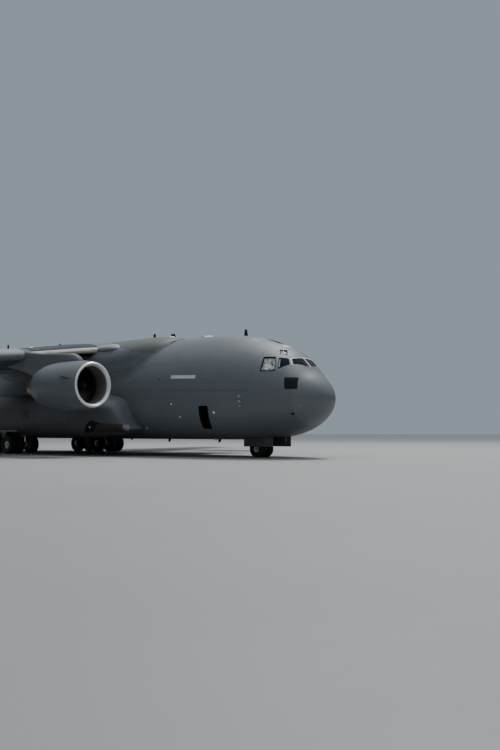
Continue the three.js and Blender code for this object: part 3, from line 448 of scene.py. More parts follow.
def rectangle(low, high, bottom, top):
    """The corners of an upright rectangle, in the order that patches and outlines take them."""
    return (low, bottom), (high, bottom), (high, top), (low, top)


def rounded(corners, radius, steps=6):
    """A closed outline with each corner replaced by a curve that starts radius before it."""
    corners = np.asarray(corners, float)
    t = np.linspace(0, 1, steps)[:, None]
    points = []
    for before, corner, after in zip(np.roll(corners, 1, 0), corners, np.roll(corners, -1, 0)):
        start = corner + unit(before - corner) * radius
        end = corner + unit(after - corner) * radius
        points.append(start * (1 - t) ** 2 + 2 * corner * t * (1 - t) + end * t ** 2)
    return np.vstack(points)


def slab(station, y, z, radius=0.02):
    """A box with round edges: rounded rectangles square to the station, drawn in at both ends."""
    (s0, s1), (y0, y1), (z0, z1) = station, y, z
    small = 0.3 * radius
    rings = []
    for at, inset in (
        (s0, radius), (s0 + small, small), (s0 + radius, 0),
        (s1 - radius, 0), (s1 - small, small), (s1, radius),
    ):
        outline = [(at, y, z) for y, z in rectangle(y0 + inset, y1 - inset, z0 + inset, z1 - inset)]
        rings.append(rounded(outline, max(radius - inset, 0.1 * radius), 4))
    return loft(rings)


def plate(outline, thickness):
    """A flat plate: an outline moved half the thickness to both sides along its own normal."""
    outline = np.asarray(outline, float)
    middle = outline.mean(axis=0)
    spokes = outline - middle
    normal = unit(np.cross(spokes, np.roll(spokes, -1, axis=0)).sum(axis=0))
    return loft([outline - normal * thickness / 2, outline + normal * thickness / 2])


def shrunk(outline, distance):
    """An outline moved towards its middle by a distance at each point."""
    middle = outline.mean(axis=0)
    spokes = middle - outline
    return outline + spokes / np.linalg.norm(spokes, axis=1)[:, None] * distance


# Node trees

def shader_node(tree, kind, inputs=None, **settings):
    """One shader node: settings are its own properties, inputs are values or sockets to link."""
    made = tree.nodes.new(kind)
    for name, value in settings.items():
        setattr(made, name, value)
    for name, value in (inputs or {}).items():
        if isinstance(value, bpy.types.NodeSocket):
            tree.links.new(value, made.inputs[name])
        else:
            made.inputs[name].default_value = value
    return made


def calc(tree, operation, first, second=0.0, third=0.0, clamp=False):
    """The result of one Math node."""
    inputs = {0: first, 1: second, 2: third}
    return shader_node(tree, "ShaderNodeMath", inputs, operation=operation, use_clamp=clamp).outputs[0]


def fade(tree, value, low, high, first=0.0, last=1.0):
    """Value mapped from low..high to first..last with soft ends."""
    inputs = {"Value": value, "From Min": low, "From Max": high, "To Min": first, "To Max": last}
    made = shader_node(tree, "ShaderNodeMapRange", inputs, interpolation_type="SMOOTHSTEP")
    return made.outputs["Result"]


def blend_colour(tree, share, first, second):
    """Two colours mixed by a share from 0 to 1."""
    inputs = {0: share, 6: first, 7: second}
    return shader_node(tree, "ShaderNodeMix", inputs, data_type="RGBA").outputs[2]


def noise(tree, vector, scale, detail=4.0, roughness=0.55):
    """Fractal noise from 0 to 1 at a vector."""
    inputs = {"Vector": vector, "Scale": scale, "Detail": detail, "Roughness": roughness}
    return shader_node(tree, "ShaderNodeTexNoise", inputs).outputs[0]


def stretched(tree, vector, scale):
    """A vector multiplied along each axis."""
    inputs = {"Vector": vector, "Scale": scale}
    return shader_node(tree, "ShaderNodeMapping", inputs, vector_type="POINT").outputs[0]


def new_group(name, inputs, outputs):
    """An empty node group with named inputs (name: default) and outputs: its tree and both ends' sockets."""
    tree = bpy.data.node_groups.new(name, "ShaderNodeTree")
    for socket, default in inputs.items():
        kind = "NodeSocketVector" if default is None else "NodeSocketFloat"
        made = tree.interface.new_socket(socket, in_out="INPUT", socket_type=kind)
        if default is not None:
            made.default_value = default
    for socket in outputs:
        tree.interface.new_socket(socket, in_out="OUTPUT", socket_type="NodeSocketFloat")
    return tree, tree.nodes.new("NodeGroupInput").outputs, tree.nodes.new("NodeGroupOutput").inputs


def make_panel_group():
    """Skin panels: staggered seams of a given width, rivets beside them, and a tone for each panel."""
    tree, given, result = new_group(
        "skin_panels",
        {"Vector": None, "Length": 2.4, "Height": 1.1, "Seam": 0.012, "Rivet Pitch": 0.06},
        ("Seam", "Rivets", "Tone"),
    )
    brick = {"Vector": given["Vector"], "Scale": 1.0, "Color1": (0, 0, 0, 1), "Color2": (1, 1, 1, 1)}
    brick.update({"Mortar": (0.5, 0.5, 0.5, 1), "Mortar Size": given["Seam"], "Mortar Smooth": 0.4})
    brick.update({"Brick Width": given["Length"], "Row Height": given["Height"]})
    seams = shader_node(tree, "ShaderNodeTexBrick", brick, offset=0.37, offset_frequency=2)
    wide = dict(brick)
    wide["Mortar Size"] = calc(tree, "MULTIPLY", given["Seam"], 6.0)
    rows = shader_node(tree, "ShaderNodeTexBrick", wide, offset=0.37, offset_frequency=2)
    band = calc(tree, "MULTIPLY", rows.outputs["Fac"], calc(tree, "SUBTRACT", 1.0, seams.outputs["Fac"]))
    cells = shader_node(tree, "ShaderNodeVectorMath", {0: given["Vector"]}, operation="SCALE")
    tree.links.new(calc(tree, "DIVIDE", 1.0, given["Rivet Pitch"]), cells.inputs["Scale"])
    dots = shader_node(tree, "ShaderNodeTexVoronoi", {"Vector": cells.outputs[0], "Randomness": 0.0})
    dot = fade(tree, dots.outputs["Distance"], 0.18, 0.3, 1.0, 0.0)
    tree.links.new(seams.outputs["Fac"], result["Seam"])
    tree.links.new(calc(tree, "MULTIPLY", band, dot), result["Rivets"])
    tree.links.new(seams.outputs["Color"], result["Tone"])
    return tree


def make_grime_group():
    """Weathering: broad stains, streaks drawn out along the flow, and fine speckle."""
    masks = ("Stain", "Streak", "Speckle")
    tree, given, result = new_group("weathering", {"Vector": None, "Scale": 1.0}, masks)
    scaled = shader_node(tree, "ShaderNodeVectorMath", {0: given["Vector"]}, operation="SCALE")
    tree.links.new(given["Scale"], scaled.inputs["Scale"])
    broad = noise(tree, scaled.outputs[0], 0.35, 5.0, 0.6)
    drawn = noise(tree, stretched(tree, scaled.outputs[0], (0.12, 1.6, 1.6)), 2.2, 4.0, 0.6)
    fine = noise(tree, scaled.outputs[0], 14.0, 3.0, 0.7)
    tree.links.new(fade(tree, broad, 0.35, 0.72), result["Stain"])
    tree.links.new(fade(tree, drawn, 0.48, 0.75), result["Streak"])
    tree.links.new(fade(tree, fine, 0.55, 0.75), result["Speckle"])
    return tree


def make_wear_group():
    """Edge wear: a mask that grows ragged from an edge value of 1 towards 0."""
    tree, given, result = new_group("edge_wear", {"Vector": None, "Edge": 0.0, "Scale": 6.0}, ("Worn",))
    ragged = noise(tree, given["Vector"], given["Scale"], 6.0, 0.7)
    worn = calc(tree, "ADD", given["Edge"], calc(tree, "SUBTRACT", ragged, 0.5))
    tree.links.new(fade(tree, worn, 0.62, 0.78), result["Worn"])
    return tree


PANEL_GROUP = make_panel_group()
GRIME_GROUP = make_grime_group()
WEAR_GROUP = make_wear_group()


def grouped(tree, group, **inputs):
    """A node that holds one of the groups; its outputs."""
    made = tree.nodes.new("ShaderNodeGroup")
    made.node_tree = group
    for name, value in inputs.items():
        socket = made.inputs[name.replace("_", " ")]
        if isinstance(value, bpy.types.NodeSocket):
            tree.links.new(value, socket)
        else:
            socket.default_value = value
    return made.outputs


def new_material(name, **values):
    """A material's tree and its Principled shader, with plain values on the shader's sockets."""
    material = bpy.data.materials.new(name)
    material.use_nodes = True
    tree = material.node_tree
    shader = tree.nodes["Principled BSDF"]
    for socket, value in values.items():
        shader.inputs[socket.replace("_", " ")].default_value = value
    return material, tree, shader


def attribute(tree, name, output="Vector"):
    """A piece's own attribute."""
    return shader_node(tree, "ShaderNodeAttribute", attribute_name=name).outputs[output]


def feed(tree, shader, **sources):
    """Links sources to the shader's sockets of the same names."""
    for socket, source in sources.items():
        tree.links.new(source, shader.inputs[socket.replace("_", " ")])


def object_place(tree):
    """Object coordinates, in the model's metres."""
    return shader_node(tree, "ShaderNodeTexCoord").outputs["Object"]


def bump(tree, shader, height, distance, strength=1.0):
    """Height as a bump on the shader's normal."""
    inputs = {"Height": height, "Distance": distance, "Strength": strength}
    feed(tree, shader, Normal=shader_node(tree, "ShaderNodeBump", inputs).outputs[0])


def shade(colour, factor):
    """A colour made lighter or darker."""
    return (*(min(channel * factor, 1.0) for channel in colour[:3]), 1.0)


GREY = (0.105, 0.118, 0.130, 1.0)
GREY_LIGHT = (0.26, 0.275, 0.29, 1.0)


def painted(name, colour, length=2.4, height=1.1, seam=0.01, roughness=0.48, tone=0.05, worn=0.0):
    """Aircraft paint over riveted panels, stained along the flow, chipped to metal where edge is high."""
    material, tree, shader = new_material(name, Specular_IOR_Level=0.45)
    skin = attribute(tree, "skin")
    where = object_place(tree)
    panel = grouped(tree, PANEL_GROUP, Vector=skin, Length=length, Height=height, Seam=seam)
    grime = grouped(tree, GRIME_GROUP, Vector=where, Scale=1.0)
    base = blend_colour(tree, panel["Tone"], shade(colour, 1 - tone), shade(colour, 1 + tone))
    for mask, share, factor in (
        (grime["Stain"], 0.35, 0.82), (grime["Streak"], 0.3, 1.18), (grime["Speckle"], 0.12, 0.7),
        (panel["Seam"], 0.6, 0.45),
    ):
        base = blend_colour(tree, calc(tree, "MULTIPLY", mask, share), base, shade(colour, factor))
    rough = calc(tree, "ADD", roughness, calc(tree, "MULTIPLY", grime["Stain"], 0.12))
    if worn:
        edge = attribute(tree, "edge", "Fac")
        wear = grouped(tree, WEAR_GROUP, Vector=where, Edge=edge, Scale=7.0)["Worn"]
        base = blend_colour(tree, wear, base, (0.46, 0.45, 0.43, 1))
        feed(tree, shader, Metallic=calc(tree, "MULTIPLY", wear, worn))
    feed(tree, shader, Base_Color=base, Roughness=rough)
    relief = calc(tree, "SUBTRACT", calc(tree, "MULTIPLY", panel["Rivets"], 0.25), panel["Seam"])
    relief = calc(tree, "ADD", relief, calc(tree, "MULTIPLY", grime["Stain"], 0.12))
    bump(tree, shader, relief, 0.004, 0.6)
    return material


def metal(name, colour, roughness=0.3, scratch=(1.0, 1.0, 1.0), stain=0.3, metallic=1.0):
    """Bare metal with drawn-out scratches in its roughness and darker stains."""
    material, tree, shader = new_material(name, Metallic=metallic)
    where = object_place(tree)
    grime = grouped(tree, GRIME_GROUP, Vector=where, Scale=3.0)
    lines = noise(tree, stretched(tree, where, scratch), 9.0, 6.0, 0.7)
    base = blend_colour(tree, calc(tree, "MULTIPLY", grime["Stain"], stain), colour, shade(colour, 0.55))
    rough = calc(tree, "ADD", roughness - 0.08, calc(tree, "MULTIPLY", lines, 0.2))
    feed(tree, shader, Base_Color=base, Roughness=rough)
    bump(tree, shader, lines, 0.0015, 0.25)
    return material


def plain(name, colour, roughness=0.6, metallic=0.0, mottle=0.25, scale=6.0, bumps=0.001, **values):
    """A moulded, cast or sprayed surface: mottled colour and roughness with a fine grain."""
    material, tree, shader = new_material(name, Metallic=metallic, **values)
    where = object_place(tree)
    broad = noise(tree, where, scale, 4.0, 0.6)
    grain = noise(tree, where, scale * 12, 3.0, 0.6)
    base = blend_colour(tree, fade(tree, broad, 0.35, 0.7), colour, shade(colour, 1 - mottle))
    rough = calc(tree, "ADD", roughness - 0.05, calc(tree, "MULTIPLY", grain, 0.12))
    feed(tree, shader, Base_Color=base, Roughness=rough)
    bump(tree, shader, grain, bumps, 0.5)
    return material


def make_heat_metal():
    """Exhaust metal: straw to violet-brown bands of heat along the flow, with soot."""
    material, tree, shader = new_material("heat_stained_metal", Metallic=0.9)
    where = object_place(tree)
    heat = noise(tree, stretched(tree, where, (2.5, 0.6, 0.6)), 2.0, 4.0, 0.6)
    base = blend_colour(tree, fade(tree, heat, 0.3, 0.6), (0.23, 0.13, 0.08, 1), (0.42, 0.30, 0.2, 1))
    base = blend_colour(tree, fade(tree, noise(tree, where, 5.0), 0.5, 0.75), base, (0.08, 0.07, 0.09, 1))
    feed(tree, shader, Base_Color=base, Roughness=fade(tree, heat, 0.2, 0.8, 0.3, 0.5))
    bump(tree, shader, heat, 0.002, 0.3)
    return material


def make_rubber():
    """Tyre rubber: near black, greyed by dust in patches."""
    material, tree, shader = new_material("tyre_rubber", Specular_IOR_Level=0.35)
    where = object_place(tree)
    dust = fade(tree, noise(tree, where, 5.0, 5.0, 0.65), 0.4, 0.75)
    dusty = calc(tree, "MULTIPLY", dust, 0.6)
    base = blend_colour(tree, dusty, (0.018, 0.018, 0.019, 1), (0.075, 0.072, 0.068, 1))
    grain = noise(tree, where, 90.0, 2.0, 0.5)
    feed(tree, shader, Base_Color=base, Roughness=fade(tree, dust, 0.0, 1.0, 0.72, 0.9))
    bump(tree, shader, grain, 0.0008, 0.5)
    return material


def make_glass(name, cover):
    """Cockpit glass: dark blue that covers what is behind it by a share, as painted shade of the cockpit
    behind the pane with a blue painted sky reflection, smeared in its gloss.
    """
    material, tree, shader = new_material(
        name, Base_Color=(0.003, 0.008, 0.024, 1.0), IOR=1.45, Alpha=cover, Specular_IOR_Level=0.12,
    )
    smear = noise(tree, stretched(tree, object_place(tree), (1.0, 1.0, 3.0)), 3.0, 5.0, 0.6)
    feed(tree, shader, Roughness=fade(tree, smear, 0.4, 0.8, 0.04, 0.16))
    return material


def make_foil():
    """Crinkled silver sunshade, painted near white for its silver sheen, with painted shade grey in its
    folds, and blue along its lower edge.
    """
    material, tree, shader = new_material("sunshade_foil", Metallic=0.05)
    where = object_place(tree)
    creases = shader_node(tree, "ShaderNodeTexVoronoi", {"Vector": where, "Scale": 14.0}).outputs["Distance"]
    folds = noise(tree, stretched(tree, where, (1.0, 1.0, 0.35)), 11.0, 4.0, 0.65)
    # Painted shade and sheen: dark grey in the folds, near white between them.
    base = blend_colour(tree, fade(tree, folds, 0.36, 0.5), (0.12, 0.13, 0.16, 1), (1.0, 0.98, 0.96, 1))
    height = calc(tree, "ADD", attribute(tree, "edge", "Fac"), calc(tree, "MULTIPLY", folds, 0.3))
    base = blend_colour(tree, fade(tree, height, 0.22, 0.34), (0.02, 0.05, 0.16, 1), base)
    feed(tree, shader, Base_Color=base, Roughness=fade(tree, folds, 0.2, 0.8, 0.25, 0.5))
    bump(tree, shader, calc(tree, "ADD", creases, folds), 0.03, 0.9)
    return material


def make_slat_metal():
    """Bare slats: steel above, and a bright bronze band along the leading edge that is a painted highlight,
    brushed across the flow.
    """
    material, tree, shader = new_material("slat_metal", Metallic=0.95)
    where = object_place(tree)
    edge = attribute(tree, "edge", "Fac")
    lines = noise(tree, stretched(tree, where, (6.0, 0.4, 6.0)), 6.0, 6.0, 0.7)
    stains = noise(tree, stretched(tree, where, (1.0, 0.5, 1.0)), 3.0, 5.0, 0.6)
    # Painted highlight: bright bronze where the edge value is high, along the leading edge.
    base = blend_colour(tree, fade(tree, edge, 0.55, 0.8), (0.035, 0.042, 0.052, 1), (0.55, 0.51, 0.44, 1))
    base = blend_colour(tree, fade(tree, stains, 0.5, 0.85), base, (0.2, 0.16, 0.12, 1))
    feed(tree, shader, Base_Color=base, Roughness=fade(tree, lines, 0.2, 0.8, 0.24, 0.46))
    bump(tree, shader, lines, 0.001, 0.3)
    return material


HULL_PAINT = painted("fuselage_paint", GREY)
RADOME_PAINT = painted("radome_paint", shade(GREY, 1.15), length=90, height=90, roughness=0.4, tone=0.0)
WING_PAINT = painted("wing_paint", shade(GREY, 1.02), length=1.9, height=1.5, worn=0.8)
TAIL_PAINT = painted("tail_paint", GREY, length=2.2, height=1.6, worn=0.8)
COWL_PAINT = painted("cowl_paint", shade(GREY, 1.04), length=1.5, height=2.2, roughness=0.36)
POD_PAINT = painted("pod_paint", shade(GREY, 0.98), length=1.8, height=1.0)
FRAME_PAINT = plain("window_frame_paint", (0.42, 0.41, 0.38, 1), 0.45, mottle=0.15)
PANEL_PAINT = painted("fairing_panel_paint", (0.075, 0.081, 0.074, 1), length=30, height=30, tone=0.0)
DULL_PAINT = plain("worn_lining_paint", (0.06, 0.056, 0.048, 1), 0.65, mottle=0.4)
LIGHT_PAINT = painted("light_grey_paint", GREY_LIGHT, length=1.4, height=0.9)
LIP_METAL = metal("inlet_lip_metal", (0.86, 0.86, 0.86, 1), 0.3, (0.5, 4.0, 4.0), 0.15, 0.3)
SLAT_METAL = make_slat_metal()
BARE_METAL = metal("bare_metal", (0.5, 0.45, 0.36, 1), 0.4, (3.0, 1.0, 1.0), 0.5)
STEEL = metal("steel", (0.42, 0.42, 0.42, 1), 0.3)
CHROME = metal("oleo_chrome", (0.85, 0.85, 0.86, 1), 0.12, stain=0.05)
HEAT_METAL = make_heat_metal()
# The fan blades' dark metal and the spinner's near black are partly painted shade of the deep inlet.
FAN_METAL = metal("fan_blade_metal", (0.13, 0.115, 0.095, 1), 0.36, (1.0, 3.0, 3.0), 0.4)
SPINNER_SHADED_PAINT = plain("spinner_shaded_paint", (0.02, 0.02, 0.021, 1), 0.4)
DUCT_LINER = plain("duct_liner", (0.07, 0.068, 0.064, 1), 0.55, 0.3)
INLET_PAINT = plain("inlet_paint", (0.16, 0.155, 0.15, 1), 0.42, mottle=0.12)
LEG_PAINT = plain("gear_paint", (0.66, 0.67, 0.67, 1), 0.38, mottle=0.2)
RUBBER = make_rubber()
# Painted shade: the windshield glass hides most of the cockpit behind it under dark blue.
GLASS = make_glass("cockpit_glass", 0.86)
CLEAR_GLASS = make_glass("clear_pane_glass", 0.1)
FOIL = make_foil()
INSIDE_PAINT = plain("interior_paint", (0.09, 0.1, 0.1, 1), 0.7)
FLOOR_METAL = metal("cargo_floor_metal", (0.3, 0.3, 0.3, 1), 0.5, (0.4, 4.0, 4.0), 0.6, 0.7)
# Black parts, and painted shade for the pod's lamp opening and the plate of the nose grille.
DARK = plain("black_finish_and_painted_shade", (0.01, 0.011, 0.012, 1), 0.5, Specular_IOR_Level=0.25)
SHADOW = plain("dark_recess", (0.012, 0.013, 0.014, 1), 0.8, Specular_IOR_Level=0.12)
SEAM_PAINT = plain("seam_sealant", (0.06, 0.068, 0.075, 1), 0.6)
WHITE_DOME = plain("antenna_dome", (0.82, 0.82, 0.8, 1), 0.35, mottle=0.08)
STRIP = plain("formation_strip", (0.55, 0.56, 0.55, 1), 0.4, mottle=0.08)
SEAT_CLOTH = plain("seat_cloth", (0.05, 0.055, 0.06, 1), 0.85, scale=20.0, bumps=0.003)
SCREEN = plain("instrument_screen", (0.01, 0.03, 0.04, 1), 0.12, mottle=0.5, scale=30.0)
LAMP_GLASS = plain("lamp_glass", (0.8, 0.82, 0.84, 1), 0.12, mottle=0.1)
RED_GLASS = plain("red_lamp", (0.5, 0.02, 0.015, 1), 0.15, mottle=0.1)
GREEN_GLASS = plain("green_lamp", (0.02, 0.35, 0.12, 1), 0.15, mottle=0.1)

# The record's material slot that each finish stands for
SLOTS = {
    "airframe": (
        HULL_PAINT, POD_PAINT, LIGHT_PAINT, PANEL_PAINT, DULL_PAINT, SEAM_PAINT, STRIP, WHITE_DOME, DARK,
        SHADOW,
    ),
    "radome": (RADOME_PAINT,),
    "surface": (WING_PAINT, TAIL_PAINT, SLAT_METAL, BARE_METAL),
    "window": (GLASS, CLEAR_GLASS, FRAME_PAINT, FOIL, LAMP_GLASS, RED_GLASS, GREEN_GLASS),
    "interior": (INSIDE_PAINT, FLOOR_METAL, SEAT_CLOTH, SCREEN),
    "cowl": (COWL_PAINT, LIP_METAL, INLET_PAINT, DUCT_LINER),
    "engine": (HEAT_METAL,),
    "fan": (FAN_METAL, SPINNER_SHADED_PAINT),
    "gear": (LEG_PAINT, STEEL, CHROME),
    "tyre": (RUBBER,),
}


# Pieces

def as_object(name, shape):
    """A Shape as a mesh object in the model's metres."""
    mesh = bpy.data.meshes.new(name)
    faces = shape.quads.tolist() + [cap.tolist() for cap in shape.caps]
    mesh.from_pydata(place(shape.points).tolist(), [], faces)
    thing = bpy.data.objects.new(name, mesh)
    bpy.context.scene.collection.objects.link(thing)
    return thing


def worked(thing, steps):
    """Adds, meets and cuts other forms and keeps the resulting mesh.

    Each step is an operation and a Shape, or a formed() tool, which goes away once used.
    """
    tools = []
    for operation, shape in steps:
        tool = as_object("tool", shape) if isinstance(shape, Shape) else shape
        tools.append(tool)
        modifier = thing.modifiers.new("step", "BOOLEAN")
        modifier.operation = operation
        modifier.solver = "MANIFOLD"
        modifier.object = tool
    graph = bpy.context.evaluated_depsgraph_get()
    mesh = bpy.data.meshes.new_from_object(thing.evaluated_get(graph))
    mesh.materials.clear()
    thing.modifiers.clear()
    old = thing.data
    thing.data = mesh
    mesh.name = old.name
    bpy.data.meshes.remove(old)
    for tool in tools:
        tool_mesh = tool.data
        bpy.data.objects.remove(tool)
        bpy.data.meshes.remove(tool_mesh)


def cut(*tools):
    """Steps that take tools out of a form."""
    return [("DIFFERENCE", tool) for tool in tools]


def meet(*tools):
    """Steps that keep what a form has in common with each tool."""
    return [("INTERSECT", tool) for tool in tools]


def formed(shape, steps):
    """A tool for worked(): a Shape worked by steps of its own."""
    tool = as_object("tool", shape)
    worked(tool, steps)
    return tool


def corners_of(mesh):
    """A mesh's points in full-size (station, y, z)."""
    points = np.empty(len(mesh.vertices) * 3)
    mesh.vertices.foreach_get("co", points)
    return full_size(points.reshape(-1, 3))


def write_attribute(mesh, name, values):
    """Stores a number or a vector at each point of the mesh."""
    kind, field = ("FLOAT", "value") if values.ndim == 1 else ("FLOAT_VECTOR", "vector")
    made = mesh.attributes.new(name, kind, "POINT")
    made.data.foreach_set(field, values.astype(np.float32).ravel())


def piece(name, shape, finish, body="airframe", replaces=(), steps=(), skin=None, edge=None, sharp=32):
    """A finished piece on its body: a form, worked by the steps, with its finish.

    skin gives the full-size pattern coordinates of its points, and edge a value at each point that its finish
    reads: wear on paint, the painted highlight on bare slats, and height on a sunshade.
    """
    thing = as_object(name, shape)
    if steps:
        worked(thing, steps)
    mesh = thing.data
    mesh.polygons.foreach_set("use_smooth", np.ones(len(mesh.polygons), bool))
    mesh.set_sharp_from_angle(angle=math.radians(sharp))
    points = corners_of(mesh)
    write_attribute(mesh, "skin", flat_skin(points) if skin is None else skin(points))
    if edge is not None:
        write_attribute(mesh, "edge", edge(points))
    mesh.materials.append(finish)
    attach(thing, body)
    next(slot for slot, finishes in SLOTS.items() if finish in finishes)
    if replaces:
        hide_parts(*replaces)
    return thing


def flat_skin(points):
    """Pattern coordinates of a piece with no pattern of its own: station and height."""
    return points[:, [0, 2, 1]]


# Fuselage

def hull_rows(stations):
    """Half width, belly, crown, widest height and squareness at stations.

    The cubic runs on the square root of the station, which keeps the nose round.
    """
    table = np.array(HULL)
    table[:, 0] = np.sqrt(table[:, 0])
    stations = np.asarray(stations, float)
    rows = between(table, np.sqrt(np.maximum(stations, 0)).ravel())
    return rows.T.reshape(5, *stations.shape)


def power_rings(stations, angle, half, waist, bottom, top, above, below, count):
    """Rings |y/W|^p + |z/H|^p = 1 at equal steps of their own length.

    The height H and the power p have one value above the widest line and one below it.
    """
    c, s = np.cos(angle), np.sin(angle)
    bend = 2 / np.where(s >= 0, above, below)
    y = half * np.sign(c) * np.abs(c) ** bend
    z = waist + np.where(s >= 0, top - waist, waist - bottom) * np.sign(s) * np.abs(s) ** bend
    rings = np.stack([np.broadcast_to(stations[:, None], y.shape), y, z], axis=-1)
    return np.array([even(ring, count) for ring in rings])


def hull_rings(stations, inset=0.0, count=HULL_POINTS):
    """Fuselage sections from the belly round by the left: ellipses above their widest line."""
    stations = np.asarray(stations, float)
    width, belly, crown, middle, power = hull_rows(stations)[:, :, None]
    angle = np.linspace(-math.pi / 2, 1.5 * math.pi, 721)[:-1]
    bottom, top = belly + inset, crown - inset
    return power_rings(stations, angle, width - inset, middle, bottom, top, 2.0, power, count)


def hull_stations(start, end):
    """Stations between two, closer together towards the nose."""
    count = math.ceil((math.sqrt(end) - math.sqrt(start)) / 0.03) + 2
    return np.linspace(math.sqrt(start), math.sqrt(end), count) ** 2


def hull_solid(start, end, inset=0.0):
    """The fuselage from one station to another, filled."""
    return loft(hull_rings(hull_stations(start, end), inset))


def hull_wall(start, end, outer=0.0, inner=WALL, count=HULL_POINTS):
    """A band of the fuselage's wall between two depths below its surface."""
    stations = hull_stations(start, end)
    outside = hull_rings(stations, outer, count)
    inside = hull_rings(stations[::-1], inner, count)
    return loft(np.concatenate([outside, inside]), close_rows=True)


def hull_side(station, z):
    """Half width of the fuselage at a height: the section's formula solved for y."""
    width, belly, crown, middle, power = hull_rows(station)
    up = np.clip((z - middle) / (crown - middle), 0, 1)
    down = np.clip((middle - z) / (middle - belly), 0, 1)
    return np.where(z >= middle, width * np.sqrt(1 - up ** 2), width * (1 - down ** power) ** (1 / power))


def hull_top(station, y):
    """Height of the fuselage's crown at a distance from the centre plane."""
    width, crown, middle = hull_rows(station)[[0, 2, 3]]
    return middle + (crown - middle) * np.sqrt(np.clip(1 - (y / width) ** 2, 0, 1))


def hull_bottom(station, y):
    """Height of the fuselage's belly at a distance from the centre plane."""
    width, belly, middle, power = hull_rows(station)[[0, 1, 3, 4]]
    return middle - (middle - belly) * np.clip(1 - np.abs(y / width) ** power, 0, 1) ** (1 / power)


def hull_skin(points):
    """Pattern coordinates round the fuselage: station, and the angle from its widest line as a length.

    Both start away from 0, where a pattern would have a seam at the nose and along the sides.
    """
    middle = hull_rows(points[:, 0])[3]
    angle = np.arctan2(points[:, 2] - middle, np.abs(points[:, 1]))
    return np.column_stack([points[:, 0] + 3, angle * 3.4 + 6.05, np.zeros(len(points))])


def line_inside(thing, finish):
    """Gives the faces that look towards the fuselage's middle a finish of their own."""
    mesh = thing.data
    mesh.materials.append(finish)
    count = len(mesh.polygons)
    centre, normal = np.empty(count * 3), np.empty(count * 3)
    mesh.polygons.foreach_get("center", centre)
    mesh.polygons.foreach_get("normal", normal)
    centre, normal = full_size(centre.reshape(-1, 3)), normal.reshape(-1, 3)
    out = centre[:, 1:] - np.column_stack([np.zeros(count), hull_rows(centre[:, 0])[3]])
    looks_in = (out * normal[:, 1:]).sum(axis=1) < -0.2 * np.linalg.norm(out, axis=1)
    mesh.polygons.foreach_set("material_index", looks_in.astype(np.int32))


def patch(grid, lift, sink=0.02, facing=None):
    """A plate on a surface: its grid moved out along the normals by lift, and in by sink.

    Out is where facing points, or else away from the middle of the fuselage.
    """
    along, across = np.gradient(grid, axis=0), np.gradient(grid, axis=1)
    normal = np.cross(along, across)
    normal /= np.linalg.norm(normal, axis=-1, keepdims=True)
    out = grid - np.array((0, 0, 4.0))
    out[..., 0] = 0
    if facing is not None:
        out = np.broadcast_to(facing, grid.shape)
    normal *= np.sign((normal * out).sum(axis=-1, keepdims=True))
    return loft(np.concatenate([grid + normal * lift, (grid - normal * sink)[:, ::-1]], axis=1))


def spot(surface, first, second, facing):
    """A point of a surface and its unit normal there, from two small steps along the surface."""
    point = surface(first, second)
    steps = surface(first + 0.02, second) - point, surface(first, second + 0.02) - point
    normal = unit(np.cross(*steps))
    return point, normal * np.sign(normal @ np.asarray(facing, float))


def side_spot(station, z, side, surface=hull_side):
    """A spot on the fuselage's side, or on another side surface."""
    return spot(lambda s, h: np.array((s, side * float(surface(s, h)), h)), station, z, (0, side, 0))


def pane_corners(name, side):
    """The corners of a pane on one side of the nose."""
    return np.array(PANES[name]) * (1, -side, 1)


def pane_prism(name, side, grow=0.0):
    """A cutting prism through a pane with round corners, larger by grow."""
    outline = rounded(pane_corners(name, side), 0.07 if name != "eyebrow" else 0.05)
    return plate(shrunk(outline, -grow), PRISM)


def pane_prisms(side, grow=0.0):
    """Cutting prisms through all panes of one side."""
    return merged(pane_prism(name, side, grow) for name in PANES)


def windshield_band(side):
    """The prism of the light band round a windshield: wide above it, less at its sides, thin below."""
    high_out, high_in, low_in, low_out = pane_corners("windshield", side)
    up_out, up_in = unit(high_out - low_out), unit(high_in - low_in)
    out = unit(high_out - high_in)
    middle = (1, 0.03, 1)
    corners = (
        high_out + 0.1 * up_out + 0.13 * out, (high_in + 0.1 * up_in) * middle,
        (low_in - 0.02 * up_in) * middle, low_out - 0.02 * up_out + 0.13 * out,
    )
    return plate(rounded(corners, 0.03), PRISM)


def door_side(station):
    """Half width of the cargo door, which tapers aft."""
    taper = (CARGO_DOOR["half_front"] - CARGO_DOOR["half_end"]) / (CARGO_DOOR["end"] - RAMP["end_low"])
    return CARGO_DOOR["half_end"] + taper * (CARGO_DOOR["end"] - station)


RAMP_LEAN = (RAMP["end_high"] - RAMP["end_low"]) / (RAMP["top_z"] - RAMP["end_z"])


def ramp_block(grow, toe):
    """The ramp's block, straight across: its outline in station and z, at both sides."""
    side, front = RAMP["half"] + grow, RAMP["front"] - grow
    outline = (
        (front + toe, 0), (RAMP["end_low"] - RAMP_LEAN * RAMP["end_z"] + grow, 0),
        (RAMP["end_high"] + grow, RAMP["top_z"] + grow), (front, FLOOR_TOP + grow),
        (front, RAMP["hinge_z"]), (front + toe, RAMP["hinge_z"] - RAMP["lip"]),
    )
    return loft([[(s, y, z) for s, z in outline] for y in (-side, side)])


def ramp_bar(grow, longer):
    """The round bar across the fuselage that the ramp turns on."""
    middle = np.array((RAMP["front"], 0, RAMP["hinge_z"]))
    return crossbar(middle, RAMP["bar_half"] + longer, RAMP["bar"] + grow)


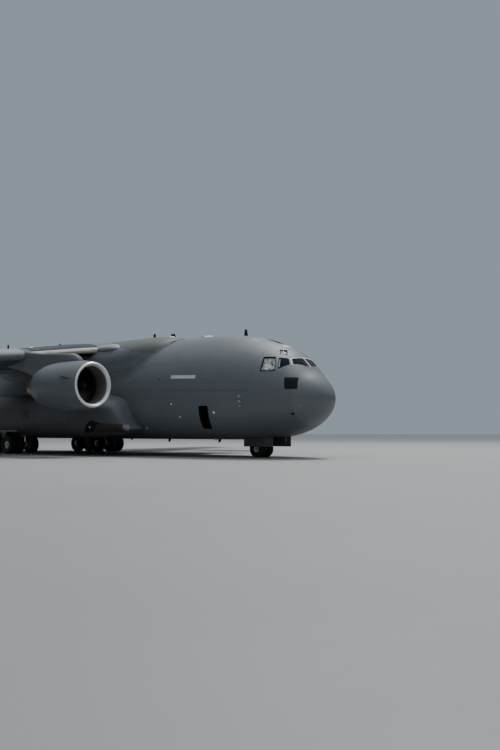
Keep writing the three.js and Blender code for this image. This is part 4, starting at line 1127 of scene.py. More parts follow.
def door_block(grow):
    """The cargo door's block: a tapering outline whose front edge leans with the ramp's end."""
    rings = []
    for z in (0, CARGO_DOOR["top"]):
        start = RAMP["end_low"] + CLEAR - grow + RAMP_LEAN * (z - RAMP["end_z"])
        end = CARGO_DOOR["end"] + grow
        corners = ((start, -1), (end, -1), (end, 1), (start, 1))
        rings.append([(s, side * (door_side(s) + grow), z) for s, side in corners])
    return loft(rings)


def door_box(grow):
    """The crew door's block through the left wall."""
    return box(
        (CREW_DOOR["front"] - grow, CREW_DOOR["back"] + grow), (2, 4),
        (CREW_DOOR["bottom"] - grow, CREW_DOOR["top"] + 2 * grow),
    )


def bay_box(wall=0.0):
    """The nose gear's bay, larger by a wall on its sides and its roof."""
    half = BAY["half"] + wall
    return box((BAY["front"] - wall, BAY["back"] + wall), (-half, half), (-1, BAY["top"] + wall))


def exit_prism(grow=0.0):
    """A prism with round corners through the exit on the right."""
    edges = EXIT["front"] - grow, EXIT["back"] + grow, EXIT["bottom"] - grow, EXIT["top"] + grow
    return plate(rounded([(s, -3, z) for s, z in rectangle(*edges)], 0.12), 2.4)


def make_fuselage():
    """Radome, cockpit shell, forward, centre and aft panels and tail cone, lined where they are hollow."""
    piece("radome_skin", hull_solid(0, RADOME_END), RADOME_PAINT, replaces=["radome"], skin=hull_skin)
    hollow = hull_solid(RADOME_END + WALL, COCKPIT_END + 0.4, WALL)
    cockpit = piece(
        "cockpit_skin", hull_solid(RADOME_END, COCKPIT_END), HULL_PAINT, replaces=["cockpit_shell"],
        steps=cut(hollow, bay_box(), pane_prisms(1), pane_prisms(-1)), skin=hull_skin,
    )
    forward = piece(
        "forward_skin", hull_wall(COCKPIT_END, FORWARD_END), HULL_PAINT, replaces=["forward_fuselage"],
        steps=cut(door_box(1.7 * CLEAR), exit_prism()), skin=hull_skin,
    )
    centre = piece(
        "centre_skin", hull_wall(FORWARD_END, CENTRE_END), HULL_PAINT, replaces=["centre_fuselage"],
        skin=hull_skin,
    )
    aft = piece(
        "aft_skin", hull_wall(CENTRE_END, AFT_END), HULL_PAINT, replaces=["aft_fuselage"],
        steps=[*cut(ramp_block(CLEAR, 0), door_block(CLEAR)), ("UNION", ramp_bar(0, 0))], skin=hull_skin,
    )
    for section in (cockpit, forward, centre, aft):
        line_inside(section, INSIDE_PAINT)
    cone = hull_solid(AFT_END, HULL_END)
    piece("tail_cone_skin", cone, HULL_PAINT, replaces=["tail_cone"], skin=hull_skin)


def make_doors():
    """Crew door with steps on its inner face, ramp with its roller rails, and cargo door."""
    band = hull_wall(COCKPIT_END + 0.05, CREW_DOOR["back"] + 0.3)
    door = piece(
        "crew_door_panel", band, HULL_PAINT, "crew_door", ["crew_door"], meet(door_box(0)), hull_skin,
    )
    line_inside(door, INSIDE_PAINT)
    steps = []
    for z in np.linspace(CREW_DOOR["bottom"] + 0.25, CREW_DOOR["top"] - 0.25, 6):
        wall = float(hull_side(6.5, z)) - WALL
        steps.append(slab((6.2, 6.9), (wall - 0.2, wall + 0.03), (z - 0.02, z + 0.02), 0.01))
    piece("crew_door_steps", merged(steps), STEEL, "crew_door")
    steps = meet(hull_solid(CENTRE_END, AFT_END)) + cut(ramp_bar(0.002, CLEAR))
    block = ramp_block(0, RAMP["toe"])
    piece("ramp_panel", block, HULL_PAINT, "cargo_ramp", ["cargo_ramp"], steps, hull_skin)
    slope = unit((RAMP["end_high"] - RAMP["front"], 0, RAMP["top_z"] - FLOOR_TOP))
    axes = (slope, (0, 1, 0), np.cross(slope, (0, 1, 0)))
    rails = []
    for y in ROLLER_Y:
        foot = np.array((RAMP["front"], y, FLOOR_TOP))
        rails.append(box_in(foot, axes, (0.3, -0.14, -0.01), (5.3, 0.14, 0.02)))
        for far in np.arange(0.45, 5.2, 0.25):
            rails.append(crossbar(foot + (0, 0, 0.02) + far * slope, 0.12, 0.03, 10))
    piece("ramp_rails", merged(rails), FLOOR_METAL, "cargo_ramp")
    door_wall = hull_wall(RAMP["front"], AFT_END, inner=CARGO_DOOR["thickness"])
    cargo_door = piece(
        "cargo_door_panel", door_wall, HULL_PAINT, "cargo_door", ["cargo_door"], meet(door_block(0)),
        hull_skin,
    )
    line_inside(cargo_door, INSIDE_PAINT)


def mixed(corners, u, v):
    """Points mixed both ways between four corners: front low, back low, back high, front high."""
    a, b, c, d = np.asarray(corners, float)
    u, v = np.asarray(u)[..., None], np.asarray(v)[..., None]
    return (a * (1 - u) + b * u) * (1 - v) + (d * (1 - u) + c * u) * v


def sunshade(name, side):
    """A crinkled sheet behind a pane: its corners mixed both ways, sunk, and rippled by sines."""
    u, v = np.meshgrid(np.linspace(0.02, 0.98, 60), np.linspace(0.04, 0.98, 60), indexing="ij")
    inward = unit(np.array((0.35, -side, -0.25)))
    ripple = 0.018 * np.sin(31 * u + 4 * np.sin(9 * v)) + 0.012 * np.sin(47 * v + 5 * np.sin(13 * u + 2))
    ripple += 0.008 * np.sin(83 * u * v + 17 * v)
    front = mixed(pane_corners(name, side), u, v) + inward * (0.085 + ripple[..., None])
    return loft(np.concatenate([front, (front + inward * 0.006)[:, ::-1]], axis=1))


def shade_height(name):
    """How far up its pane a point of a sunshade is: 0 at the lower corners, 1 at the upper ones."""
    heights = np.array(PANES[name])[:, 2]

    def height(points):
        return np.clip((points[:, 2] - heights.min()) / (heights.max() - heights.min()), 0, 1)
    return height


def wiper(side):
    """A windscreen wiper: an arm from the foot of the windshield up over it, and its blade."""
    high_out, high_in, low_in, low_out = pane_corners("windshield", side)
    out = np.array((-0.05, 0, 0.03))
    foot = low_in * 0.7 + low_out * 0.3 - unit(high_in - low_in) * 0.06
    tip = (low_in + high_in + low_out + high_out) / 4
    arm = curve([foot - out, foot + out, foot * 0.4 + tip * 0.6 + out, tip + out * 0.7], 14)
    blade_ends = [tip * 0.45 + corner * 0.55 + out * 0.5 for corner in (low_in, high_in)]
    return sweep(arm, 0.012, 8) + rod(*blade_ends, 0.01, sides=8)


def make_windows():
    """Panes of glass with dark seals, a light band round the windshields, foil shades and wipers."""
    skin, seal, glass, reveal = (
        hull_wall(1.2, 3.6, outer, inner)
        for outer, inner in ((-0.01, 0.05), (-0.006, 0.05), (0.02, 0.06), (0.003, 0.24))
    )
    shaded = ("aft_window", "eyebrow")
    for side_name, side in SIDES.items():
        steps = meet(windshield_band(side)) + cut(pane_prisms(side, 0.01))
        piece(f"windshield_band_{side_name}", skin, FRAME_PAINT, steps=steps)
        for name in shaded:
            steps = meet(pane_prism(name, side, 0.025)) + cut(pane_prism(name, side, -0.004))
            piece(f"{name}_seal_{side_name}", seal, SHADOW, steps=steps)
        # Painted shade on the reveals round the panes.
        steps = meet(pane_prisms(side, 0.012)) + cut(pane_prisms(side, -0.02))
        piece(f"window_reveal_shade_{side_name}", reveal, SHADOW, steps=steps)
        for name in PANES:
            stands_for = [] if name == "eyebrow" else [f"{name}_{side_name}"]
            steps = meet(pane_prism(name, side, -0.006))
            finish = CLEAR_GLASS if name in shaded else GLASS
            piece(f"{name}_glass_{side_name}", glass, finish, replaces=stands_for, steps=steps)
        for name in shaded:
            piece(f"{name}_shade_{side_name}", sunshade(name, side), FOIL, edge=shade_height(name))
        ends = []
        for along, down in ((0.3, 0.1), (0.2, 0.85)):
            station, _, z = mixed(pane_corners("side_window", side), along, down)
            point, normal = side_spot(station, z, -side)
            ends.append(point - 0.012 * normal)
        piece(f"side_window_post_{side_name}", rod(*ends, 0.024, sides=12), FRAME_PAINT)
        piece(f"wiper_{side_name}", wiper(side), DARK)


make_fuselage()
make_doors()
make_windows()


# Wing fairing, wings and the surfaces that turn on them

def super_rings(table, middle, shape, side=1, grow=0.0, step=0.3, count=96):
    """Rings |y/W|^p + |z/H|^p = 1 through a table of station, outer y, bottom and top.

    shape is the height of the widest line as a share, and the power above and below it.
    """
    table = np.asarray(table, float)
    stations = np.linspace(table[0, 0], table[-1, 0], math.ceil((table[-1, 0] - table[0, 0]) / step))
    outer, bottom, top = between(table, stations).T[:, :, None]
    widest, above, below = shape
    waist = bottom + widest * (top - bottom)
    angle = np.linspace(0, 2 * math.pi, 721)[:-1]
    c, s = np.cos(angle), np.sin(angle)
    bend = 2 / np.where(s > 0, above, below)
    reach = np.where(s > 0, top - waist, waist - bottom) + grow
    y = middle + (outer - middle + grow) * np.sign(c) * np.abs(c) ** bend
    z = waist + reach * np.sign(s) * np.abs(s) ** bend
    rings = np.stack([np.broadcast_to(stations[:, None], y.shape), side * y, z], axis=-1)
    return np.array([even(ring, count) for ring in rings])


def fairing_solid(grow=0.0):
    """The fairing that carries the wing over the fuselage."""
    return loft(super_rings(FAIRING, 0, FAIRING_SHAPE, grow=grow))


MELT = {"width": 0.5, "centre_z": 4.05, "step": 0.001, "crossing": 0.3}


def section_share(y, z, outer, bottom, top, waist, above, below):
    """How far points lie from a section's middle as a share of its edge: (|y/W|^p + |z/H|^p)^(1/p)."""
    power = np.where(z > waist, above, below)
    height = np.where(z > waist, top - waist, waist - bottom)
    return (np.abs(y / outer) ** power + np.abs((z - waist) / height) ** power) ** (1 / power)


def off_edge(y, z, row):
    """Distance from a section's edge and its slope: the share less one, over how steeply the share grows."""
    step = MELT["step"]
    share = section_share(y, z, *row)
    slope = np.stack([section_share(y + step, z, *row) - share, section_share(y, z + step, *row) - share])
    steep = np.hypot(*slope)
    return (share - 1) * step / steep, slope / steep


def melted(station, y, z):
    """Distance from fuselage and fairing melted together.

    The smaller distance, less a quarter of the width times the square of how near the two are, and
    less so where the surfaces run alongside each other.
    """
    width, belly, crown, middle, power = hull_rows(station)
    outer, bottom, top = between(FAIRING, station.ravel()).T.reshape(3, *station.shape)
    widest, above, below = FAIRING_SHAPE
    waist = bottom + widest * (top - bottom)
    hull, hull_slope = off_edge(y, z, (width, belly, crown, middle, 2.0, power))
    cover, cover_slope = off_edge(y, z, (outer, bottom, top, waist, above, below))
    near = np.clip(1 - np.abs(hull - cover) / MELT["width"], 0, 1)
    across = np.abs(hull_slope[0] * cover_slope[1] - hull_slope[1] * cover_slope[0])
    across = np.clip(across / MELT["crossing"], 0, 1)
    return np.minimum(hull, cover) - near**2 * across * MELT["width"] / 4


def outermost(distance, reach):
    """The farthest reach at which a row of distances turns negative, on a straight line between two."""
    first = np.argmax(distance <= 0, axis=-1)[..., None]
    far, near = np.take_along_axis(distance, first - 1, -1), np.take_along_axis(distance, first, -1)
    share = far / (far - near)
    return (reach[first - 1] * (1 - share) + reach[first] * share)[..., 0]


def melted_side(station, z):
    """Half width of the melted form at a height."""
    station, z = np.broadcast_arrays(np.asarray(station, float), np.asarray(z, float))
    reach = np.linspace(4.4, 0.4, 401)
    whole = np.broadcast_to(station[..., None], (*station.shape, len(reach)))
    return outermost(melted(whole, reach, z[..., None]), reach)


def melted_rings(stations, turns, grow=0.0):
    """Rings round the melted form: at each turn, how far out a ray from its middle line leaves it."""
    reach = np.linspace(5.0, 2.2, 281)
    c, s = np.cos(turns)[:, None], np.sin(turns)[:, None]
    whole = np.broadcast_to(stations[:, None, None], (len(stations), len(turns), len(reach)))
    radius = outermost(melted(whole, reach * c, MELT["centre_z"] + reach * s), reach) + grow
    y, z = radius * np.cos(turns), MELT["centre_z"] + radius * np.sin(turns)
    return np.stack([np.broadcast_to(stations[:, None], y.shape), y, z], axis=-1)


def melted_solid(grow=0.0):
    """The melted form from before the fairing to the wing's nose, filled."""
    return loft(melted_rings(np.linspace(11.05, 17.0, 60), np.linspace(0, 2 * math.pi, 181)[:-1], grow))


def fairing_fillet(side):
    """The melted form as a shell just below its surface, which shows only where it fills the corner."""
    turns = np.radians(np.linspace(0, 78, 70))
    stations = np.linspace(11.05, 24.0, 110)
    outside, inside = (melted_rings(stations, turns, grow) * (1, side, 1) for grow in (-0.004, -0.14))
    return loft(np.concatenate([outside, inside[:, ::-1]], axis=1))


def half_thickness(x, thick):
    """Half thickness of the aerofoil at a share of its chord, as a share of the chord."""
    return 5 * thick * (0.2969 * np.sqrt(x) - 0.126 * x - 0.3516 * x**2 + 0.2843 * x**3 - 0.1015 * x**4)


def foil_line(section, up, x, sign, grow=0.0):
    """Points of an aerofoil's upper (sign 1) or lower (sign -1) side at shares of its chord.

    A section's tilt turns its nose up about the leading edge.
    """
    tilt = section.get("tilt", 0.0)
    back = np.array((math.cos(tilt), 0, -math.sin(tilt)))
    out = up * (1, 1, math.cos(tilt)) + (up[2] * math.sin(tilt), 0, 0)
    half = sign * (half_thickness(x, section["thick"]) * section["chord"] + grow)
    return np.asarray(section["lead"], float) + np.outer(half, out) + np.outer(x * section["chord"], back)


def foil_ring(section, up, grow=0.0, count=28):
    """An aerofoil: forward along its upper side and back along its lower one."""
    x = (1 - np.cos(np.linspace(0, math.pi, count))) / 2
    nose = np.asarray(section["lead"], float) - (max(grow, 0), 0, 0)
    upper = foil_line(section, up, x[:0:-1], 1, grow)
    lower = foil_line(section, up, x[1:], -1, grow)
    return np.vstack([upper, nose[None], lower])


def wing_section(y, side):
    """The wing's section at a distance from the centre plane, twisted about the straight hinge line."""
    lead = WING["lead"] + WING["lead_slope"] * y
    chord = WING["trail"] + WING["trail_slope"] * y - lead
    tilt = math.radians(np.interp(y, *np.array(WING_TWIST).T))
    front = HINGE_AT * chord
    return {
        "lead": np.array((
            lead + front * (1 - math.cos(tilt)), side * y,
            WING["hinge_z"] - WING["droop"] * y + front * math.sin(tilt),
        )),
        "chord": chord,
        "thick": WING["thick_root"] + (WING["thick_tip"] - WING["thick_root"]) * y / WING["tip"],
        "tilt": tilt,
    }


def wing_solid(side, grow=0.0):
    """One wing with its flap and aileron still in it."""
    spans = np.linspace(WING["root"], WING["tip"], 40)
    return loft([foil_ring(wing_section(y, side), UP_Z, grow) for y in spans])


def section_between(low, high, t):
    """A section between two others."""
    lead = np.array(low["lead"]) * (1 - t) + np.array(high["lead"]) * t
    chord = low["chord"] * (1 - t) + high["chord"] * t
    return {"lead": lead, "chord": chord, "thick": low["thick"] * (1 - t) + high["thick"] * t}


def winglet_solid(side):
    """The winglet, curving up and out of the wing's tip."""
    tip_z = wing_section(WING["tip"], side)["lead"][2]
    lean = HALF_SPAN - WING["tip"] - WINGLET["thick"] * WINGLET["tip_chord"] / 2
    low = {
        "lead": (WINGLET["lead"], side * (WING["tip"] - 0.05), tip_z - 0.04),
        "chord": WINGLET["chord"], "thick": WINGLET["thick"],
    }
    high = {
        "lead": (WINGLET["tip_lead"], side * (WING["tip"] + lean), tip_z + WINGLET["rise"]),
        "chord": WINGLET["tip_chord"], "thick": WINGLET["thick"],
    }
    return loft([foil_ring(section_between(low, high, t), UP_Y) for t in np.linspace(0, 1, 12)])


def hinge_point(section, at):
    """A section's middle at a share of its chord, and its half thickness there."""
    tilt = section.get("tilt", 0.0)
    back = np.array((math.cos(tilt), 0, -math.sin(tilt)))
    point = np.array(section["lead"], float) + at * section["chord"] * back
    return point, float(half_thickness(at, section["thick"]) * section["chord"])


def hinge_frame(a, b):
    """Length of a hinge line, and the unit vectors along it, back from it and up from it."""
    along = unit(b - a)
    back = unit(np.array((1.0, 0, 0)) - along * along[0])
    return np.linalg.norm(b - a), (along, back, np.cross(along, back))


def hinge_panel(low, high):
    """Steps that leave the moving surface of a wing: all behind the hinge line, with a round nose."""
    (a, half_a), (b, half_b) = low, high
    length, axes = hinge_frame(a, b)
    block = box_in(a, axes, (0, 0, -8), (length, 8, 8))
    return [("INTERSECT", block), ("UNION", rod(a, b, half_a, half_b, 48))]


def hinge_room(low, high):
    """The block and the round hollow that a fixed surface leaves for its moving one."""
    (a, half_a), (b, half_b) = low, high
    length, axes = hinge_frame(a, b)
    block = box_in(a, axes, (-CLEAR, 0, -8), (length + CLEAR, 8, 8))
    reach = CLEAR * axes[0]
    hollow = [(COVE * half + CLEAR) / math.cos(math.pi / 12) for half in (half_a, half_b)]
    return [block, rod(a - reach, b + reach, *hollow, 48)]


def hinge_pins(low, high):
    """Short pins of a fixed surface at both ends of its moving one."""
    (a, half_a), (b, half_b) = low, high
    along = unit(b - a)
    radius = 0.5 * min(half_a, half_b)
    return merged(
        rod(end + sign * 0.004 * along, end + sign * (CLEAR + 0.1) * along, radius)
        for end, sign in ((a, -1), (b, 1))
    )


def canoe_solid(y, side):
    """The whole fairing of a flap hinge along the wing's lower side."""
    section = wing_section(y, side)
    share, size = curve(CANOE_OUTLINE, 48).T
    x = CANOE["front"] + (CANOE["back"] - CANOE["front"]) * share
    skin = foil_line(section, UP_Z, np.minimum(x, 1), -1)[:, 2]
    z = skin - np.maximum(x - 1, 0) * section["chord"] * math.sin(section["tilt"])
    station = section["lead"][0] + x * section["chord"]
    bottom, top = z - CANOE["depth"] * size, z + CANOE["cover"] * size
    table = np.column_stack([station, CANOE["half"] * size, bottom, top])
    return loft(super_rings(table, 0, (0.5, 2, 2), step=0.1, count=40)).moved((0, side * y, 0))


def canoe_cut(ends, side, lean, clear=0.0):
    """The block behind a plane through the hinge that leans, like the ends of both canoe halves."""
    length, (along, back, up) = hinge_frame(ends[0][0], ends[1][0])
    turn = math.radians(-side * lean)
    aft = back * math.cos(turn) + up * math.sin(turn)
    axes = (along, aft, np.cross(along, aft))
    return box_in(ends[0][0], axes, (-1, -clear, -8), (length + 1, 8, 8))


def span_skin(points):
    """Pattern coordinates of a wing: across it and along the flow."""
    return points[:, [1, 0, 2]]


def leading_edge_wear_and_highlight(points):
    """How near a point is to the wing's leading edge: 1 at the edge, 0 a hand's breadth behind it. It sets
    wear on the wing's paint and the painted highlight on the bare slats.
    """
    behind = points[:, 0] - WING["lead"] - WING["lead_slope"] * np.abs(points[:, 1])
    return np.clip(1 - behind / 0.3, 0, 1)


def make_wings():
    """Fairing, wings with winglets, flaps and ailerons, and the canoes of the flap hinges."""
    hull = hull_solid(9.0, HULL_END, 0.05)
    piece("wing_fairing_skin", fairing_solid(), HULL_PAINT, replaces=["wing_fairing"], steps=cut(hull))
    for name, side in SIDES.items():
        rooms, pins = [], []
        ends_of = {
            kind: [hinge_point(wing_section(y, side), HINGE_AT) for y in span]
            for kind, span in (("flap", FLAP), ("aileron", AILERON))
        }
        for kind, ends in ends_of.items():
            rooms += hinge_room(*ends)
            pins.append(hinge_pins(*ends))
            piece(
                f"{kind}_panel_{name}", wing_solid(side), WING_PAINT, f"{kind}_{name}", [f"{kind}_{name}"],
                hinge_panel(*ends), span_skin, leading_edge_wear_and_highlight,
            )
        steps = [("UNION", winglet_solid(side)), ("DIFFERENCE", fairing_solid(-0.04)), ("DIFFERENCE", hull)]
        steps += [("DIFFERENCE", room) for room in rooms]
        piece(
            f"wing_skin_{name}", wing_solid(side), WING_PAINT, "airframe", [f"wing_{name}"], steps,
            span_skin, leading_edge_wear_and_highlight,
        )
        piece(f"wing_pins_{name}", merged(pins), STEEL)
        ends = ends_of["flap"]
        canoes = merged(canoe_solid(y, side) for y in CANOE["y"])
        front = [("DIFFERENCE", canoe_cut(ends, side, -CANOE["front_lean"], CLEAR))]
        front += [("DIFFERENCE", room) for room in rooms[:2]]
        piece(f"canoe_fronts_{name}", canoes, WING_PAINT, steps=front)
        length, axes = hinge_frame(ends[0][0], ends[1][0])
        behind = box_in(ends[0][0], axes, (-1, 0, -8), (length + 1, 8, 8))
        back = [("INTERSECT", canoe_cut(ends, side, CANOE["back_lean"])), ("INTERSECT", behind)]
        piece(f"canoe_backs_{name}", canoes, WING_PAINT, f"flap_{name}", steps=back)


# Engines

def engine_places():
    """Number, side and middle of the inlet of every engine."""
    inner, outer = ENGINE_Y
    for number, side, span in ((1, 1, outer), (2, 1, inner), (3, -1, inner), (4, -1, outer)):
        inboard, own = (wing_section(y, side)["lead"] for y in (ENGINE_Y[0], span))
        yield number, side, np.array((ENGINE["lip"], side * span, ENGINE["z"])) + (own - inboard) * (1, 0, 1)


def profile_band(profile, lift, sink):
    """A closed band along part of a profile, proud of it by lift and sunk by sink."""
    tangent = np.gradient(profile, axis=0)
    normal = np.column_stack([tangent[:, 1], -tangent[:, 0]])
    normal /= np.linalg.norm(normal, axis=1)[:, None]
    return np.vstack([profile + normal * lift, (profile - normal * sink)[::-1]])


def cowl_skin(centre):
    """Pattern coordinates round a nacelle: station, and the angle from its top as a length."""
    def skin(points):
        angle = np.arctan2(np.abs(points[:, 1] - centre[1]), points[:, 2] - centre[2])
        return np.column_stack([points[:, 0] - centre[0] + 0.35, angle * 1.45, np.zeros(len(points))])
    return skin


def pylon_rings(lip):
    """Level rings of a pylon, from the engine's core up into the wing."""
    outline = curve(PYLON_OUTLINE, 26)
    share = np.concatenate([outline[:, 0], outline[::-1, 0]])
    half = np.concatenate([outline[:, 1], -outline[::-1, 1]])
    levels = np.linspace(PYLON[0][0], PYLON[-1][0], 36)
    rings = []
    for level, (front, back) in zip(levels, between(PYLON, levels)):
        rings.append(np.column_stack([front + (back - front) * share, half, np.full(len(share), level)]))
    return lip + np.array(rings)[:, 1:-1]


def pylon_lead(lip):
    """The light nose of a pylon above its cowl: the front of its outline, out a little and back inside."""
    outline = curve(PYLON_OUTLINE, 80)
    front = outline[outline[:, 0] < 0.03]
    levels = np.linspace(PYLON[2][0] + 0.02, PYLON[4][0], 16)
    rings = []
    for level, (start, end) in zip(levels, between(PYLON, levels)):
        nose = []
        for ahead, wider in ((0.008, 0.008), (-0.02, -0.012)):
            x = start + (end - start) * front[:, 0] - ahead
            half = front[:, 1] + wider * np.minimum(front[:, 1] / 0.03, 1)
            ring = np.column_stack([x, half])
            mirrored = ring[:0:-1] * (1, -1)
            nose.append(np.vstack([mirrored, ring]))
        flat = np.vstack([nose[0], nose[1][::-1]])
        rings.append(np.column_stack([flat, np.full(len(flat), level)]))
    return loft(lip + np.array(rings))


def strake(lip, side):
    """A small fin on the outboard side of a nacelle, its foot turned up the cowl as it goes back."""
    outline = []
    for x, radius, degrees in ((0.05, 1.26, 9.5), (1.3, 1.44, 20), (1.34, 1.8, 20), (0.95, 1.76, 17)):
        angle = math.radians(degrees)
        outline.append((x, side * radius * math.cos(angle), radius * math.sin(angle)))
    return plate(lip + np.array(outline), 0.03)


def blade(root, tip, chord, twist, thickness, lean=0.0, rows=9, count=7):
    """One blade up the z axis: its chord along x turned by a twist that grows outwards, with round edges."""
    rings = []
    edge = np.linspace(0, 1, count)
    camber = np.sin(edge * math.pi)
    for t in np.linspace(0, 1, rows):
        length = chord[0] + (chord[1] - chord[0]) * t
        turn = twist[0] + (twist[1] - twist[0]) * t
        x = (edge - 0.5) * length
        bow = 0.08 * length * camber
        half = thickness * (0.25 + 0.75 * camber) * (1 - 0.4 * t)
        upper = np.column_stack([x, bow + half])
        lower = np.column_stack([x, bow - half])[::-1]
        flat = np.vstack([upper, lower])
        c, s = math.cos(turn), math.sin(turn)
        along = flat[:, 0] * c - flat[:, 1] * s
        across = flat[:, 0] * s + flat[:, 1] * c + lean * t ** 2
        height = np.full(len(flat), root + (tip - root) * t)
        rings.append(np.column_stack([along, across, height]))
    return loft(rings)


def round_x(shape, count):
    """A form repeated at equal turns about the x axis."""
    copies = []
    for angle in np.arange(count) * 2 * math.pi / count:
        c, s = math.cos(angle), math.sin(angle)
        turn = np.array(((1, 0, 0), (0, c, -s), (0, s, c)))
        copies.append(Shape(shape.points @ turn.T, shape.quads, shape.caps))
    return merged(copies)


def make_engines():
    """Nacelles with bright lips, lined ducts, fans, guide vanes, hot cores and pylons."""
    path = curve(COWL, 170)
    inner = np.arange(len(path)) > np.argmin(path[:, 0])
    lip_band = profile_band(path[path[:, 0] < np.where(inner, 0.2, 0.08)], 0.006, 0.03)
    inlet_band = profile_band(path[inner & (path[:, 0] > 0.17) & (path[:, 0] < 1.12)], 0.004, 0.02)
    liner_band = profile_band(path[inner & (path[:, 0] > 1.08)][::2], 0.005, 0.02)
    fan_blades = round_x(blade(0.3, FAN["radius"], (0.26, 0.34), (0.45, 0.95), 0.012, 0.05), FAN["blades"])
    vanes = round_x(blade(0.42, 1.17, (0.3, 0.3), (-0.2, -0.2), 0.01, rows=2), FAN["vanes"])
    for number, side, lip in engine_places():
        piece(f"pylon_skin_{number}", loft(pylon_rings(lip)), COWL_PAINT, replaces=[f"pylon_{number}"])
        piece(f"pylon_lead_{number}", pylon_lead(lip), LIGHT_PAINT)
        piece(f"strake_{number}", strake(lip, side), COWL_PAINT)
        cowl = lathe(path, lip, sides=96, hollow=True)
        piece(f"cowl_{number}", cowl, COWL_PAINT, replaces=[f"nacelle_{number}"], skin=cowl_skin(lip))
        piece(f"inlet_lip_{number}", lathe(lip_band, lip, sides=128, hollow=True), LIP_METAL)
        piece(f"inlet_wall_{number}", lathe(inlet_band, lip, sides=128, hollow=True), INLET_PAINT)
        piece(f"duct_liner_{number}", lathe(liner_band, lip, sides=64, hollow=True), DUCT_LINER)
        core = lathe(CORE, lip, sides=96)
        piece(f"core_{number}", core, HEAT_METAL, replaces=[f"engine_core_{number}"])
        piece(f"guide_vanes_{number}", vanes.moved(lip + (2.0, 0, 0)), DUCT_LINER)
        fan, fan_at = f"fan_{number}", lip + (FAN["front"], 0, 0)
        blades = fan_blades.moved(fan_at + (FAN["depth"] / 2, 0, 0))
        piece(f"fan_blades_{number}", blades, FAN_METAL, fan, [fan])
        piece(f"spinner_{number}", lathe(SPINNER, fan_at, sides=64), SPINNER_SHADED_PAINT, fan)


# Gear pods and landing gear

def make_pods():
    """Pods beside the fuselage with the wheel wells cut in."""
    hull = hull_solid(9.0, HULL_END, 0.05)
    ramp_side = RAMP["half"] + 2 * CLEAR
    path = box((RAMP["front"] - 2 * CLEAR, FAR), (-ramp_side, ramp_side), (-3, 20))
    for name, side in SIDES.items():
        y = sorted((side * WELL["inner"], side * WELL["outer"]))
        well = box((WELL["front"], WELL["back"]), y, (-3, WELL["top"]))
        body = loft(super_rings(POD, POD_MIDDLE, POD_SHAPE, side, step=0.15))
        steps = [("DIFFERENCE", tool) for tool in (hull, well, path)]
        piece(f"pod_skin_{name}", body, POD_PAINT, replaces=[f"gear_pod_{name}"], steps=steps)


def tyre_profile(y, tyre, rim, grooves):
    """A tyre's section round its wheel: side walls, round shoulders and a grooved tread."""
    radius, half = tyre["radius"], tyre["width"] / 2
    wall = (
        (0.62, rim), (0.8, rim + 0.02), (0.93, radius * 0.72), (1.0, radius * 0.82),
        (0.97, radius * 0.9), (0.87, radius * 0.955), (0.7, radius * 0.987),
    )
    left = [(y - share * half, r) for share, r in wall]
    right = [(y + share * half, r) for share, r in wall[::-1]]
    tread = []
    for centre in np.linspace(-0.5, 0.5, grooves):
        crown = radius * (1 - 0.012 * abs(centre) * 2)
        for offset, depth in ((-0.035, 0), (-0.022, 0.012), (0.022, 0.012), (0.035, 0)):
            tread.append((y + (centre + offset) * half, crown - depth))
    return left + tread + right


def wheel_shapes(y, tyre, rim, bolts, hub):
    """Tyre, wheel and bolts of one wheel on the y axis through the origin."""
    rubber = lathe(tyre_profile(y, tyre, rim, 4), (0, 0, 0), (0, 1, 0), 96, hollow=True)
    half = tyre["width"] / 2
    dish = (
        (y - 0.62 * half, hub * 0.9), (y - 0.62 * half, rim + 0.01), (y - 0.52 * half, rim + 0.005),
        (y - 0.45 * half, rim - 0.04), (y - 0.2 * half, rim - 0.07), (y - 0.16 * half, hub * 1.5),
        (y - 0.4 * half, hub * 1.4), (y - 0.4 * half, hub * 0.9), (y + 0.4 * half, hub * 0.9),
        (y + 0.4 * half, hub * 1.4), (y + 0.16 * half, hub * 1.5), (y + 0.2 * half, rim - 0.07),
        (y + 0.45 * half, rim - 0.04), (y + 0.52 * half, rim + 0.005), (y + 0.62 * half, rim + 0.01),
        (y + 0.62 * half, hub * 0.9), (y + 0.3 * half, hub * 0.8), (y - 0.3 * half, hub * 0.8),
    )
    wheel = lathe(dish, (0, 0, 0), (0, 1, 0), 64, hollow=True)
    studs = []
    for angle in np.arange(bolts) * 2 * math.pi / bolts:
        ring = (hub * 1.5 + rim - 0.07) / 2
        centre = np.array((ring * math.cos(angle), y, ring * math.sin(angle)))
        reach = np.array((0, 0.27 * half, 0))
        studs.append(rod(centre - reach, centre + reach, 0.014, sides=8))
    return rubber, wheel, merged(studs)


